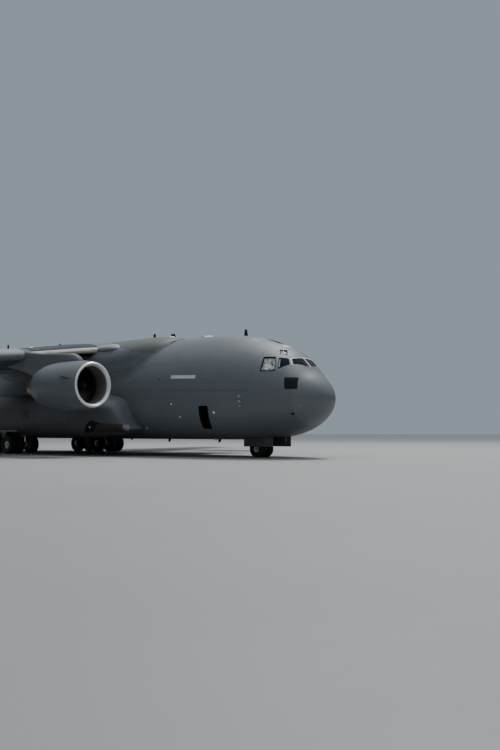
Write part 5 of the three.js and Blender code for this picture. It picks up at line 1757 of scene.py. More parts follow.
def make_main_gear():
    """Four legs with three wheels each."""
    axle_z = MAIN_TYRE["radius"]
    for name, side in SIDES.items():
        for place_name, station in MAIN_AXLES.items():
            body = f"main_wheels_{place_name}_{name}"
            centre = np.array((station, 0, axle_z))
            wheels = [wheel_shapes(side * y, MAIN_TYRE, 0.27, 10, MAIN_LEG["hub"]) for y in MAIN_TYRE_Y]
            tyres, rims, studs = (merged(parts).moved(centre) for parts in zip(*wheels))
            piece(f"main_tyres_{place_name}_{name}", tyres, RUBBER, body, [body])
            piece(f"main_rims_{place_name}_{name}", rims, LEG_PAINT, body)
            piece(f"main_bolts_{place_name}_{name}", studs, STEEL, body)
            ends = [(station, side * y, axle_z) for y in (2.76, 5.06)]
            axle = rod(*ends, MAIN_LEG["hub"] * 0.82, sides=32)
            piece(f"main_axle_{place_name}_{name}", axle, STEEL, body)
            leg_y = side * MAIN_LEG["y"]
            foot, knee = np.array((station, leg_y, axle_z)), np.array((station, leg_y, 1.16))
            eye = lathe(
                ((-0.2, 0.15), (-0.2, 0.2), (-0.17, 0.225), (0.17, 0.225), (0.2, 0.2), (0.2, 0.15)),
                foot, (0, 1, 0), 48, hollow=True,
            )
            upper = lathe(
                ((0, 0.125), (0, 0.15), (0.03, 0.165), (0.42, 0.165), (0.46, 0.125)), knee, (0, 0, 1), 48,
            )
            leg = merged([eye, upper])
            stands_for = [f"main_leg_{place_name}_{name}"]
            piece(f"main_cylinder_{place_name}_{name}", leg, LEG_PAINT, replaces=stands_for)
            piston = rod(foot + (0, 0, 0.19), knee + (0, 0, 0.05), 0.115, sides=40)
            piece(f"main_piston_{place_name}_{name}", piston, CHROME)


def make_nose_gear():
    """Nose leg with its brace, steered fork, two wheels and the bay's doors."""
    at, axle_z = NOSE_GEAR["station"], NOSE_TYRE["radius"]
    nose_y = (-NOSE_GEAR["tyre_y"], NOSE_GEAR["tyre_y"])
    centre = np.array((at, 0, axle_z))
    wheels = [wheel_shapes(y, NOSE_TYRE, 0.2, 8, NOSE_GEAR["hub"]) for y in nose_y]
    tyres, rims, studs = (merged(parts).moved(centre) for parts in zip(*wheels))
    piece("nose_tyres", tyres, RUBBER, "nose_wheels", ["nose_wheels"])
    piece("nose_rims", rims, LEG_PAINT, "nose_wheels")
    piece("nose_bolts", studs, STEEL, "nose_wheels")
    axle = rod((at, -0.56, axle_z), (at, 0.56, axle_z), NOSE_GEAR["hub"] * 0.82, sides=32)
    piece("nose_axle", axle, STEEL, "nose_wheels")
    eye = lathe(
        ((-0.1, 0.1), (-0.1, 0.13), (-0.08, 0.145), (0.08, 0.145), (0.1, 0.13), (0.1, 0.1)),
        centre, (0, 1, 0), 40, hollow=True,
    )
    piece("nose_eye", eye, LEG_PAINT, "nose_fork", ["nose_fork"])
    piston = rod(centre + (0, 0, 0.12), centre + (0, 0, 0.55), 0.085, sides=40)
    piece("nose_piston", piston, CHROME, "nose_fork")
    tube = ((0, 0.1), (0.02, 0.13), (0.3, 0.13), (0.34, 0.115), (1.6, 0.115), (1.62, 0.1))
    brace = rod((at, 0, 1.31), (3.65, 0, 2.55), 0.055)
    leg = merged([lathe(tube, (at, 0, 1.07), (0, 0, 1), 48), brace])
    piece("nose_cylinder", leg, LEG_PAINT, replaces=["nose_leg"])
    for name, side in SIDES.items():
        across = sorted((side * NOSE_DOOR["inner"], side * NOSE_DOOR["outer"]))
        door = slab((NOSE_DOOR["front"], NOSE_DOOR["back"]), across, (NOSE_DOOR["low"], 1.3), 0.015)
        steps = [("DIFFERENCE", hull_solid(RADOME_END, COCKPIT_END))]
        piece(f"nose_door_panel_{name}", door, HULL_PAINT, replaces=[f"nose_door_{name}"], steps=steps)


# Tail

def tail_section(y, side):
    """The stabilizer's section at a distance from the centre plane."""
    low, high = STABILIZER
    section = section_between(low, high, y / high["lead"][1])
    section["lead"] = section["lead"] * (1, side, 1)
    return section


def tail_solid(side):
    """One half of the stabilizer with its elevator still in it."""
    spans = np.linspace(0, STABILIZER[1]["lead"][1], 24)
    return loft([foil_ring(tail_section(y, side), UP_Z) for y in spans])


def fin_section(t):
    """The fin's section above its root: 0 at its second row and 1 at its top."""
    return section_between(FIN[1], FIN[2], t)


def make_tail():
    """Fin, rudder, stabilizer with its bullet fairing, and elevators."""
    low_rows = [section_between(FIN[0], FIN[1], t) for t in np.linspace(0, 1, 8)[:-1]]
    rows = low_rows + [fin_section(t) for t in np.linspace(0, 1, 24)]
    surface = loft([foil_ring(row, UP_Y) for row in rows])
    ends = [hinge_point(fin_section(t), RUDDER["at"]) for t in (RUDDER["low"], RUDDER["high"])]
    above = [box((0, FAR), (-8, 8), (RUDDER["bottom"] + room, 20)) for room in (0, RUDDER["foot_room"])]
    hull = hull_solid(30.0, HULL_END, 0.03)
    steps = [("DIFFERENCE", hull)]
    steps += [("DIFFERENCE", formed(room, [("INTERSECT", above[0])])) for room in hinge_room(*ends)]
    piece("fin_skin", surface, TAIL_PAINT, replaces=["fin"], steps=steps)
    steps = [*hinge_panel(*ends), ("INTERSECT", above[1])]
    piece("rudder_panel", surface, TAIL_PAINT, "rudder", ["rudder"], steps)
    rooms = []
    for name, side in SIDES.items():
        spans = (ELEVATOR["inner"], ELEVATOR["outer"])
        ends = [hinge_point(tail_section(y, side), ELEVATOR["at"]) for y in spans]
        rooms.append(hinge_room(*ends))
        piece(
            f"elevator_panel_{name}", tail_solid(side), TAIL_PAINT, f"elevator_{name}", [f"elevator_{name}"],
            hinge_panel(*ends), span_skin,
        )
    for (name, side), room in zip(SIDES.items(), rooms):
        steps = [("DIFFERENCE", tool) for tool in room]
        stands_for = ["stabilizer"] if side > 0 else []
        piece(f"stabilizer_{name}", tail_solid(side), TAIL_PAINT, "airframe", stands_for, steps, span_skin)
    bullet = lathe(curve(BULLET["profile"], 60), (BULLET["nose"], 0, BULLET["z"]), sides=64)
    piece("bullet", bullet, TAIL_PAINT)


make_wings()
make_engines()
make_pods()
make_main_gear()
make_nose_gear()
make_tail()


# Spots and grids on the skin, and the small fittings that stand on them

def crown_spot(station, y=0.0):
    """A spot on the fuselage's crown."""
    return spot(lambda s, across: np.array((s, across, float(hull_top(s, across)))), station, y, UP_Z)


def belly_spot(station, y=0.0):
    """A spot on the fuselage's belly."""
    return spot(lambda s, across: np.array((s, across, float(hull_bottom(s, across)))), station, y, -UP_Z)


def ring_side(table, middle, shape, station, z):
    """Outer y of super_rings() at a height: |y/W|^p + |z/H|^p = 1 solved for y."""
    outer, bottom, top = between(table, np.ravel(station)).T.reshape(3, *np.shape(station))
    widest, above, below = shape
    waist = bottom + widest * (top - bottom)
    high = z > waist
    power = np.where(high, above, below)
    reach = np.where(high, top - waist, waist - bottom)
    share = np.clip(np.abs(z - waist) / reach, 0, 1)
    return middle + (outer - middle) * (1 - share ** power) ** (1 / power)


def ring_top(table, shape, station, y):
    """Height of super_rings() about the centre plane at a distance from it, solved for z."""
    outer, bottom, top = between(table, np.ravel(station)).T.reshape(3, *np.shape(station))
    widest, above, _ = shape
    waist = bottom + widest * (top - bottom)
    return waist + (top - waist) * (1 - np.clip(np.abs(y) / outer, 0, 1) ** above) ** (1 / above)


def pod_side(station, z):
    """Outer y of a gear pod at a height."""
    return ring_side(POD, POD_MIDDLE, POD_SHAPE, station, z)


def fairing_spot(station, y=0.0):
    """A spot on the wing fairing's top."""
    def surface(s, across):
        return np.array((s, across, float(ring_top(FAIRING, FAIRING_SHAPE, s, across))))
    return spot(surface, station, y, UP_Z)


def quad_grid(corners, count):
    """A grid mixed both ways between four corners: front low, back low, back high, front high."""
    a, b, c, d = np.asarray(corners, float)
    u, v = np.meshgrid(np.linspace(0, 1, count[0]), np.linspace(0, 1, count[1]), indexing="ij")
    u, v = u[..., None], v[..., None]
    return (a * (1 - u) + b * u) * (1 - v) + (d * (1 - u) + c * u) * v


def on_side(corners, side, surface=hull_side, count=(24, 12)):
    """Points of a side surface over a quad of (station, z)."""
    station, z = np.moveaxis(quad_grid(corners, count), -1, 0)
    return np.stack([station, side * surface(station, z), z], axis=-1)


def on_crown(corners, count=(16, 12)):
    """Points of the fuselage's crown over a quad of (station, y)."""
    station, y = np.moveaxis(quad_grid(corners, count), -1, 0)
    return np.stack([station, y, hull_top(station, y)], axis=-1)


def dome(at, radius, height, sides=32, squareness=1.0):
    """A dome on a spot: its radius falls as a cosine power while its height rises as a sine."""
    point, normal = at
    angle = np.linspace(0, math.pi / 2, 9)
    wide = radius * np.cos(angle) ** (1 / squareness) + 0.002
    profile = np.column_stack([height * np.sin(angle) ** squareness, wide])
    return lathe(np.vstack([[(-0.05, radius)], profile]), point, normal, sides)


def blade_antenna(at, height, chord, tip_chord, sweep=0.1, thick=0.16):
    """A swept blade: aerofoils from its chord at the foot to the tip's, with a rounded end."""
    foot, normal = at
    up = np.sign(normal[2])
    rings = []
    for t, shrink in ((-0.15, 1.0), (0.0, 1.0), (0.4, 1.0), (0.8, 1.0), (0.94, 0.94), (1.0, 0.7)):
        length = (chord + (tip_chord - chord) * max(t, 0)) * shrink
        lead = foot + ((sweep * t - chord / 2) + (1 - shrink) * length / 2, 0, up * height * t)
        rings.append(foil_ring({"lead": lead, "chord": length, "thick": thick}, UP_Y, count=14))
    return loft(rings)


def probe(at, reach, length, radius):
    """An air-data probe: a curved mast out of the skin, which ends in a tapered tube forward."""
    point, normal = at
    knee = point + normal * reach
    stem = (point - normal * 0.04, point + normal * 0.5 * reach)
    path = curve([*stem, knee - (0.05, 0, 0), knee - (length, 0, 0)], 16)
    return sweep(path, radius * np.linspace(1.6, 0.6, 16), 10) + dome(at, radius * 3.5, radius, 20)


def make_door_linings():
    """Painted shade lining the jambs of the open exit, its raised lip, and the surround, window and handle of
    the crew door.
    """
    # The exit's jambs get painted shade, so they read dark.
    lining = hull_wall(6.0, 7.1, 0.004, 0.2)
    piece("exit_jamb_shade", lining, SHADOW, steps=meet(exit_prism()) + cut(exit_prism(-0.025)))
    lip = hull_wall(6.0, 7.1, -0.012, 0.03)
    piece("exit_lip", lip, HULL_PAINT, steps=meet(exit_prism(0.08)) + cut(exit_prism(0)))
    above = box((5, 8), (2, 4), (CREW_DOOR["bottom"] + 0.12, CREW_DOOR["top"] + 1))
    surround = meet(door_box(0.085)) + cut(door_box(CLEAR + 0.004)) + meet(above)
    piece("crew_door_surround", hull_wall(5.95, 7.2, -0.008, 0.03), HULL_PAINT, steps=surround)
    at = side_spot(6.55, 3.02, 1)
    piece("crew_door_window_rim", dome(at, 0.15, 0.012, 40), HULL_PAINT, "crew_door")
    piece("crew_door_window", dome(at, 0.115, 0.018, 40), GLASS, "crew_door")
    x, y, _ = side_spot(6.86, 2.45, 1)[0]
    lever = slab((x - 0.1, x + 0.06), (y - 0.02, y + 0.025), (2.43, 2.47), 0.01)
    piece("crew_door_lever", lever, STEEL, "crew_door")


def make_seams():
    """Radome seal, lap seams along the sides, light strips, and the fairing's darker panel and seams."""
    piece("radome_seal", hull_wall(RADOME_END - 0.014, RADOME_END + 0.014, -0.002, 0.03), RADOME_PAINT)
    lower = (
        (11.0, 6.46), (11.76, 6.48), (12.26, 6.53), (13.07, 6.68), (14.24, 6.97), (15.95, 7.37), (16.9, 7.6),
    )
    outline = [(s, 0, z) for s, z in (*lower, (16.9, 8.2), (11.0, 8.2))]
    steps = [("INTERSECT", melted_solid(0.008)), ("DIFFERENCE", melted_solid(-0.02))]
    steps.append(("DIFFERENCE", hull_solid(10, 20, -0.015)))
    piece("fairing_panel", plate(outline, 10.0), PANEL_PAINT, steps=steps)
    lines = (
        ((13.07, 6.68), (13.13, 6.5), (13.12, 6.33), (13.1, 5.92), (13.06, 5.51)),
        ((11.76, 6.47), (12.15, 6.06), (12.66, 5.66), (13.07, 5.48), (15.0, 5.3), (18.0, 5.25), (23.0, 5.25)),
    )
    for name, side in SIDES.items():
        seams = []
        for line in lines:
            station, z = curve(line, 40).T
            seams.append(sweep(np.column_stack([station, side * melted_side(station, z), z]), 0.009, 8))
        piece(f"fairing_seams_{name}", merged(seams), SEAM_PAINT)
        piece(f"fairing_fillet_{name}", fairing_fillet(side), HULL_PAINT)
        lap = ((3.4, 3.8), (9.75, 4.01), (9.75, 4.03), (3.4, 3.82))
        piece(f"lap_seam_{name}", patch(on_side(lap, side, count=(60, 3)), 0.005), SEAM_PAINT)
        quads = (
            ((7.21, 4.63), (9.25, 4.7), (9.25, 4.9), (7.21, 4.83)),
            ((37.0, 6.0), (39.0, 6.0), (39.0, 6.2), (37.0, 6.2)),
        )
        piece(f"light_strips_{name}", merged(patch(on_side(quad, side), 0.006) for quad in quads), STRIP)


GRILLE = ((0.99, 3.9), (1.48, 3.9), (1.61, 4.5), (1.12, 4.5))


def make_grille():
    """Louvred opening on the right of the nose: a dark plate, its frame and its slats, all in painted shade
    so that the opening reads black.
    """
    a, b, c, d = (np.array(corner) for corner in GRILLE)
    # Painted shade: a black plate for the inside of the opening.
    piece("grille_plate", patch(on_side(GRILLE, -1), 0.004), DARK)
    slats, frame_bars = [], []
    for low in np.linspace(0.06, 0.86, 8):
        ends = [first * (1 - t) + last * t for t in (low, low + 0.055) for first, last in ((a, d), (b, c))]
        slats.append(patch(on_side((ends[0], ends[1], ends[3], ends[2]), -1, count=(12, 3)), 0.014))
    for first, last, shift in ((a, b, (0, -0.03)), (d, c, (0, 0.03)), (a, d, (-0.03, 0)), (b, c, (0.03, 0))):
        quad = (first, last, last + shift, first + shift)
        frame_bars.append(patch(on_side(quad, -1, count=(12, 4)), 0.01))
    piece("grille_slats", merged(slats), SHADOW)
    piece("grille_frame", merged(frame_bars), SHADOW)


def make_antennas():
    """Blades and domes on the crown and the belly, and the beacon lamps."""
    blades = [
        blade_antenna(crown_spot(6.18), 0.4, 0.3, 0.2, 0.06),
        blade_antenna(fairing_spot(14.3), 0.38, 0.3, 0.2, 0.05),
        blade_antenna(fairing_spot(24.66), 0.48, 0.3, 0.18, 0.08),
        blade_antenna(fairing_spot(12.5), 0.26, 0.5, 0.34, 0.12),
        blade_antenna(crown_spot(31.4), 1.02, 0.34, 0.22, 0.12),
        blade_antenna(crown_spot(36.2), 0.4, 0.3, 0.2, 0.1),
    ]
    blades += [blade_antenna(belly_spot(s, y), 0.2, 0.26, 0.18, 0.08) for s, y in ((8.6, 0.3), (13.4, 0.6))]
    piece("blade_antennas", merged(blades), DARK)
    domes = dome(fairing_spot(12.54), 0.26, 0.1) + dome(fairing_spot(28.25), 0.5, 0.56, 48, 0.75)
    piece("antenna_domes", domes, WHITE_DOME)
    front, back = (
        lathe(curve(profile, 30), (8.85, 0, 7.4), sides=40) for profile in (
            ((0.0, 0.01), (0.08, 0.1), (0.3, 0.18), (0.7, 0.2), (0.75, 0.01)),
            ((0.7, 0.01), (0.72, 0.19), (1.1, 0.16), (1.5, 0.08), (1.6, 0.01)),
        )
    )
    piece("crown_antenna_front", front, WHITE_DOME)
    piece("crown_antenna_back", back, HULL_PAINT)
    piece("beacons", dome(fairing_spot(19.0), 0.1, 0.14) + dome(belly_spot(16.5), 0.09, 0.08), RED_GLASS)


def make_slipway():
    """Refuelling slipway on the crown: a dark patch of painted shade for its recess, between pale guide
    lines.
    """
    half = 0.28
    # Painted shade where the slipway's recess would be.
    recess = on_crown(((3.4, -half), (4.35, -half), (4.35, half), (3.4, half)))
    piece("slipway_recess_shade", patch(recess, 0.004), SHADOW)
    marks = [((2.86, -0.34), (3.14, -0.34), (3.14, 0.34), (2.86, 0.34))]
    for side in SIDES.values():
        marks.append([(s, side * y) for s, y in ((3.2, 0.34), (4.9, 0.34), (4.9, 0.4), (3.2, 0.4))])
        marks.append([(s, side * y) for s, y in ((4.3, 0.95), (4.9, 0.95), (4.9, 1.02), (4.3, 1.02))])
    piece("slipway_marks", merged(patch(on_crown(mark), 0.006) for mark in marks), STRIP)
    doors = on_crown(((3.45, -0.01), (4.3, -0.01), (4.3, 0.01), (3.45, 0.01)), (12, 3))
    piece("slipway_door_gap", patch(doors, 0.012), DULL_PAINT)


def make_lamps():
    """Small lamps, probes and sockets on the fuselage's sides and belly."""
    for name, side in SIDES.items():
        lamps = [dome(side_spot(s, z, side), r, 0.03, 20) for s, z, r in (
            (5.74, 2.61, 0.075), (9.15, 3.16, 0.05), (8.51, 2.39, 0.05), (11.73, 1.73, 0.05),
        )]
        lamps.append(dome(belly_spot(7.26, side * 1.5), 0.1, 0.09, 24))
        piece(f"side_lamps_{name}", merged(lamps), LAMP_GLASS)
        spots = ((1.26, 2.51, 0.09), (10.25, 4.7, 0.06))
        sockets = [dome(side_spot(s, z, side), r, 0.006, 24) for s, z, r in spots]
        piece(f"sockets_{name}", merged(sockets), DARK)
        studs = [dome(side_spot(s, z, side), 0.04, 0.015, 20) for s, z in ((0.84, 2.94), (0.3, 4.05))]
        piece(f"radome_studs_{name}", merged(studs), LIGHT_PAINT)
        spots = ((4.0, 3.5), (3.99, 3.22), (3.98, 2.97))
        probes = [probe(side_spot(s, z, side), 0.14, 0.26, 0.016) for s, z in spots]
        piece(f"probes_{name}", merged(probes), STEEL)


make_door_linings()
make_seams()
make_grille()
make_antennas()
make_slipway()
make_lamps()


# Fittings of the wings, engines and pods

# Slats of one wing: inboard bare metal, then painted; distances from the centre plane
BARE_SLAT = (3.05, 6.82)
PAINTED_SLATS = ((7.22, 12.85), (13.35, 18.85), (18.92, 24.5))
SPOILERS = ((5.1, 8.2), (8.28, 11.4), (11.48, 14.6), (14.68, 17.9))
# Nose of the wing's root fillet, from the wing forward along the fairing: station, y, z, half height
FILLET = (
    (17.4, 3.2, 6.88, 0.2), (16.6, 3.15, 6.9, 0.27), (16.2, 3.2, 6.92, 0.34), (15.4, 3.26, 6.92, 0.34),
    (14.9, 3.2, 6.9, 0.3), (14.4, 2.97, 6.88, 0.18),
)


def slat_solid(spans, side, above=0.15, below=0.04, lift=0.012):
    """A shell over a wing's nose: the front of the aerofoil lifted off it, and a copy sunk into it."""
    share = np.linspace(0, 1, 16)[1:] ** 2
    rings = []
    for y in np.linspace(*spans, 24):
        section = wing_section(y, side)
        skins = []
        for grow in (lift, -0.0015 * section["chord"]):
            upper = foil_line(section, UP_Z, above * share[::-1], 1, grow)
            lower = foil_line(section, UP_Z, below * share, -1, grow)
            nose = [section["lead"] - (grow, 0, 0)] if grow > 0 else np.empty((0, 3))
            skins.append(np.vstack([upper, nose, lower]))
        rings.append(np.vstack([skins[0], skins[1][::-1]]))
    return loft(rings)


def fillet_solid(side, depth=0.8):
    """The wing's nose curving forward along the fairing: upright ellipses whose outer ends follow FILLET."""
    turn = np.arange(40) * 2 * math.pi / 40
    rings = []
    for station, y, z, half in curve(FILLET, 40):
        across = y - depth + depth * np.cos(turn)
        rings.append(np.column_stack([np.full(40, station), side * across, z + half * np.sin(turn)]))
    return loft(rings)


def span_grid(spans, shares, side, sign, count=(24, 8)):
    """Points of a wing's upper or lower side between two distances out and two shares of the chord."""
    across = np.linspace(*shares, count[1])
    sections = (wing_section(y, side) for y in np.linspace(*spans, count[0]))
    return np.array([foil_line(section, UP_Z, across, sign) for section in sections])


def wicks(points):
    """Static wicks that trail back from points, tapering."""
    return merged(rod(point - (0.04, 0, 0), point + (0.2, 0, -0.01), 0.007, 0.003, 6) for point in points)


def trailing(section):
    """The trailing edge of a section."""
    return hinge_point(section, 1.0)[0]


def make_wing_fittings():
    """Slats, root fillets, spoilers, tank covers, tip lamps and static wicks."""
    hull = hull_solid(9.0, HULL_END, 0.05)
    for name, side in SIDES.items():
        piece(f"slat_bare_{name}", slat_solid(BARE_SLAT, side), SLAT_METAL, edge=leading_edge_wear_and_highlight)
        slats = merged(slat_solid(spans, side) for spans in PAINTED_SLATS)
        piece(f"slats_painted_{name}", slats, LIGHT_PAINT, skin=span_skin)
        inner = [("DIFFERENCE", fairing_solid(-0.03)), ("DIFFERENCE", hull)]
        piece(f"root_fillet_{name}", fillet_solid(side), LIGHT_PAINT, steps=inner, skin=span_skin)
        spoilers = merged(
            patch(span_grid(spans, (0.55, 0.665), side, 1), 0.012, facing=UP_Z) for spans in SPOILERS
        )
        piece(f"spoilers_{name}", spoilers, WING_PAINT, skin=span_skin, edge=leading_edge_wear_and_highlight)
        covers = []
        for y in np.linspace(5.4, 23.0, 15):
            point = foil_line(wing_section(y, side), UP_Z, np.array((0.4,)), -1)[0]
            covers.append(dome((point, -UP_Z), 0.2 - 0.004 * y, 0.012, 28))
        piece(f"tank_covers_{name}", merged(covers), WING_PAINT, skin=span_skin, edge=leading_edge_wear_and_highlight)
        lamp = RED_GLASS if side > 0 else GREEN_GLASS
        piece(f"tip_lamp_{name}", slat_solid((24.62, 25.0), side, 0.08, 0.05, 0.008), lamp)
        tips = [trailing(wing_section(y, side)) for y in np.linspace(19.2, 23.8, 6)]
        piece(f"aileron_wicks_{name}", wicks(tips), DARK, f"aileron_{name}")
        tips = [trailing(tail_section(y, side)) for y in np.linspace(3.0, 9.0, 6)]
        piece(f"elevator_wicks_{name}", wicks(tips), DARK, f"elevator_{name}")
    tips = [trailing(fin_section(t)) for t in np.linspace(0.2, 0.8, 5)]
    piece("rudder_wicks", wicks(tips), DARK, "rudder")


# Details on the front of a pod, as quads of (station, z)
POD_OPENING = ((15.0, 1.47), (15.75, 1.45), (14.65, 2.24), (13.95, 2.08))
POD_LINING = ((12.75, 1.5), (14.98, 1.46), (13.93, 2.07), (12.5, 1.96))
POD_TIP_END = 12.5


def make_pod_fittings():
    """Lamp opening as a dark patch of painted shade, worn lower lining, pale tip, vents and hatch outlines of
    the pods.
    """
    for name, side in SIDES.items():
        # Painted shade: a dark patch for the lamp's opening.
        piece(f"pod_opening_shade_{name}", patch(on_side(POD_OPENING, side, pod_side), 0.004), DARK)
        piece(f"pod_lining_{name}", patch(on_side(POD_LINING, side, pod_side), 0.006), DULL_PAINT)

        def surface(s, h, side=side):
            return np.array((s, side * float(pod_side(s, h)), h))
        lamp = dome(spot(surface, 14.89, 1.8, (0, side, 0)), 0.07, 0.05, 24)
        piece(f"pod_lamp_{name}", lamp, LAMP_GLASS)
        outer, core = (
            loft(super_rings(POD, POD_MIDDLE, POD_SHAPE, side, grow, 0.1)) for grow in (0.006, -0.02)
        )
        tip = box((11.9, POD_TIP_END), sorted((side * 3.95, side * 8)), (-1, 9))
        piece(f"pod_tip_{name}", tip, LIGHT_PAINT, steps=[("INTERSECT", outer), ("DIFFERENCE", core)])
        hatches = []
        for start, end, low, high in ((16.6, 18.2, 2.0, 3.3), (18.6, 20.4, 2.0, 3.3), (28.0, 29.0, 2.2, 3.1)):
            edge = 0.018
            bars = (
                ((start, end), (low, low + edge)), ((start, end), (high - edge, high)),
                ((start, start + edge), (low, high)), ((end - edge, end), (low, high)),
            )
            for (s0, s1), (z0, z1) in bars:
                quad = ((s0, z0), (s1, z0), (s1, z1), (s0, z1))
                hatches.append(patch(on_side(quad, side, pod_side, (10, 10)), 0.003))
        piece(f"pod_hatches_{name}", merged(hatches), SHADOW)
        vents = []
        for low in np.linspace(2.4, 2.95, 6):
            quad = ((20.9, low), (21.7, low), (21.7, low + 0.045), (20.9, low + 0.045))
            vents.append(patch(on_side(quad, side, pod_side, (8, 3)), 0.02))
        piece(f"pod_vents_{name}", merged(vents), DULL_PAINT)


make_wing_fittings()
make_pod_fittings()


# Fittings of the landing gear

def make_gear_fittings():
    """Brakes, torque links, hoses, braces, taxi lamps, door struts and the ribs of the wells."""
    axle_z = MAIN_TYRE["radius"]
    for name, side in SIDES.items():
        for place_name, station in MAIN_AXLES.items():
            at = f"{place_name}_{name}"
            y = side * MAIN_LEG["y"]
            brakes = []
            for low, high in ((3.345, 3.43), (3.81, 3.905)):
                profile = [(0.0, 0.14)]
                for start in np.linspace(0, 0.75, 4) * (high - low):
                    profile += [(start + 0.002, 0.2), (start + 0.014, 0.2), (start + 0.017, 0.175)]
                profile += [(high - low, 0.19), (high - low, 0.14)]
                along = (0, side, 0)
                brakes.append(lathe(profile, (station, side * low, axle_z), along, 40, hollow=True))
            piece(f"brakes_{at}", merged(brakes), STEEL)
            aft = 1 if place_name == "front" else -1
            joints = [
                np.array((station + aft * far, y, z)) for far, z in ((0.15, 1.22), (0.52, 0.93), (0.19, 0.66))
            ]
            links = [
                rod(joints[0], joints[1], 0.05, 0.03), rod(joints[1], joints[2], 0.03, 0.05),
                rod(joints[1] - (0, 0.09, 0), joints[1] + (0, 0.09, 0), 0.035),
                rod((station - aft * 0.12, y, 1.2), (station - aft * 0.75, y, WELL["top"] + 0.02), 0.055),
            ]
            piece(f"torque_links_{at}", merged(links), LEG_PAINT)
            hoses = []
            for shift in (-0.1, 0.1):
                points = (
                    (station - aft * 0.16, y + shift, 1.5), (station - aft * 0.24, y + shift * 1.6, 1.1),
                    (station - aft * 0.27, y + shift * 1.9, 0.85),
                    (station - aft * 0.17, y + shift * 2.1, 0.72),
                )
                hoses.append(sweep(curve(points, 24), 0.013, 8))
            piece(f"brake_pipes_{at}", merged(hoses), DARK)
        ribs = [
            box((s, s + 0.05), sorted((side * 2.9, side * 5.1)), (WELL["top"] - 0.09, WELL["top"] + 0.01))
            for s in np.arange(23.1, 27.0, 0.42)
        ]
        piece(f"well_ribs_{name}", merged(ribs), LEG_PAINT)
    at = NOSE_GEAR["station"]
    lamps, glasses = [], []
    for side in SIDES.values():
        centre = np.array((at - 0.2, side * 0.24, 1.42))
        bowl = ((-0.02, 0.075), (-0.02, 0.09), (0.06, 0.09), (0.11, 0.05), (0.12, 0.01))
        lamps.append(lathe(bowl, centre, sides=32))
        lamps.append(rod(centre + (0.08, 0, 0), (at, 0, 1.42), 0.025))
        lens = ((-0.034, 0.01), (-0.03, 0.05), (-0.018, 0.074), (-0.01, 0.074))
        glasses.append(lathe(lens, centre, sides=32))
    piece("taxi_lamp_bodies", merged(lamps), STEEL)
    piece("taxi_lamp_glass", merged(glasses), LAMP_GLASS)
    joints = [np.array((at + far, 0, z)) for far, z in ((0.17, 1.02), (0.42, 0.84), (0.15, 0.62))]
    links = [rod(joints[0], joints[1], 0.035, 0.022), rod(joints[1], joints[2], 0.022, 0.035)]
    links.append(rod(joints[1] - (0, 0.06, 0), joints[1] + (0, 0.06, 0), 0.026))
    links.append(rod(joints[2], (at + 0.05, 0, 0.6), 0.035))
    links.append(rod(joints[0], (at + 0.06, 0, 1.0), 0.035))
    piece("nose_torque_links", merged(links), LEG_PAINT, "nose_fork")
    struts = []
    for side in SIDES.values():
        for station in (3.75, 5.25):
            struts.append(rod((station, side * 0.845, 0.9), (station, side * 0.72, 1.5), 0.022, sides=12))
            struts.append(rod((station, side * 0.72, 1.5), (station, side * 0.8, 2.0), 0.022, sides=12))
    piece("nose_door_struts", merged(struts), LEG_PAINT)
    ribs = []
    top, half = BAY["top"], BAY["half"]
    for station in np.arange(3.55, 5.5, 0.38):
        ribs.append(box((station, station + 0.04), (-half, half), (top - 0.05, top + 0.01)))
        for side in SIDES.values():
            across = sorted((side * (half - 0.04), side * half))
            ribs.append(box((station, station + 0.04), across, (1.5, top)))
    piece("nose_bay_ribs", merged(ribs), LEG_PAINT)


make_gear_fittings()


# Flight deck and hold

DECK = {"floor": 4.05, "thickness": 0.12, "front": 1.8, "bulkhead": (5.7, 5.8), "wall": 0.1}
SEAT = {"station": 3.42, "y": 0.78, "pan": 4.47, "back": 3.63}


def pillow(centre, half, axes=np.eye(3), squareness=0.45):
    """A cushion: superellipse rings |x/a|^p + |y/b|^p = 1 that shrink towards its crown and its base."""
    turn = np.arange(40) * 2 * math.pi / 40
    c, s = np.cos(turn), np.sin(turn)
    outline = np.column_stack([np.sign(c) * np.abs(c) ** squareness, np.sign(s) * np.abs(s) ** squareness])
    rings = []
    for angle in np.linspace(-0.49, 0.49, 15) * math.pi:
        flat = outline * np.array(half[:2]) * math.cos(angle) ** 0.3
        height = np.full(len(flat), half[2] * math.sin(angle))
        rings.append(np.asarray(centre, float) + np.column_stack([flat, height]) @ np.asarray(axes, float))
    return loft(rings)


def make_seat(name, side):
    """A pilot's seat: pedestal, shell, arm rests, and cushions on its pan, back and head rest."""
    y = side * SEAT["y"]
    at, floor = SEAT["station"], DECK["floor"]
    shell = [
        slab((at - 0.2, at + 0.2), (y - 0.18, y + 0.18), (floor - 0.02, floor + 0.3), 0.03),
        slab((at - 0.27, at + 0.3), (y - 0.27, y + 0.27), (floor + 0.28, floor + 0.36), 0.03),
        slab((at + 0.27, at + 0.33), (y - 0.25, y + 0.25), (floor + 0.3, floor + 1.15), 0.02),
    ]
    for edge in (-0.31, 0.31):
        across = (y + edge - 0.03, y + edge + 0.03)
        shell.append(slab((at - 0.15, at + 0.3), across, (floor + 0.6, floor + 0.65), 0.02))
    piece(f"seat_shell_{name}", merged(shell), INSIDE_PAINT)
    upright = ((0, 1, 0), (0, 0, 1), (1, 0, 0))
    cushions = {
        "pan": pillow((at - 0.01, y, SEAT["pan"]), (0.27, 0.25, 0.075)),
        "back": pillow((at + 0.2, y, floor + 0.78), (0.24, 0.32, 0.07), upright),
        "head": pillow((at + 0.21, y, floor + 1.22), (0.14, 0.1, 0.05), upright),
    }
    for part, shape in cushions.items():
        piece(f"seat_{part}_{name}", shape, SEAT_CLOTH)


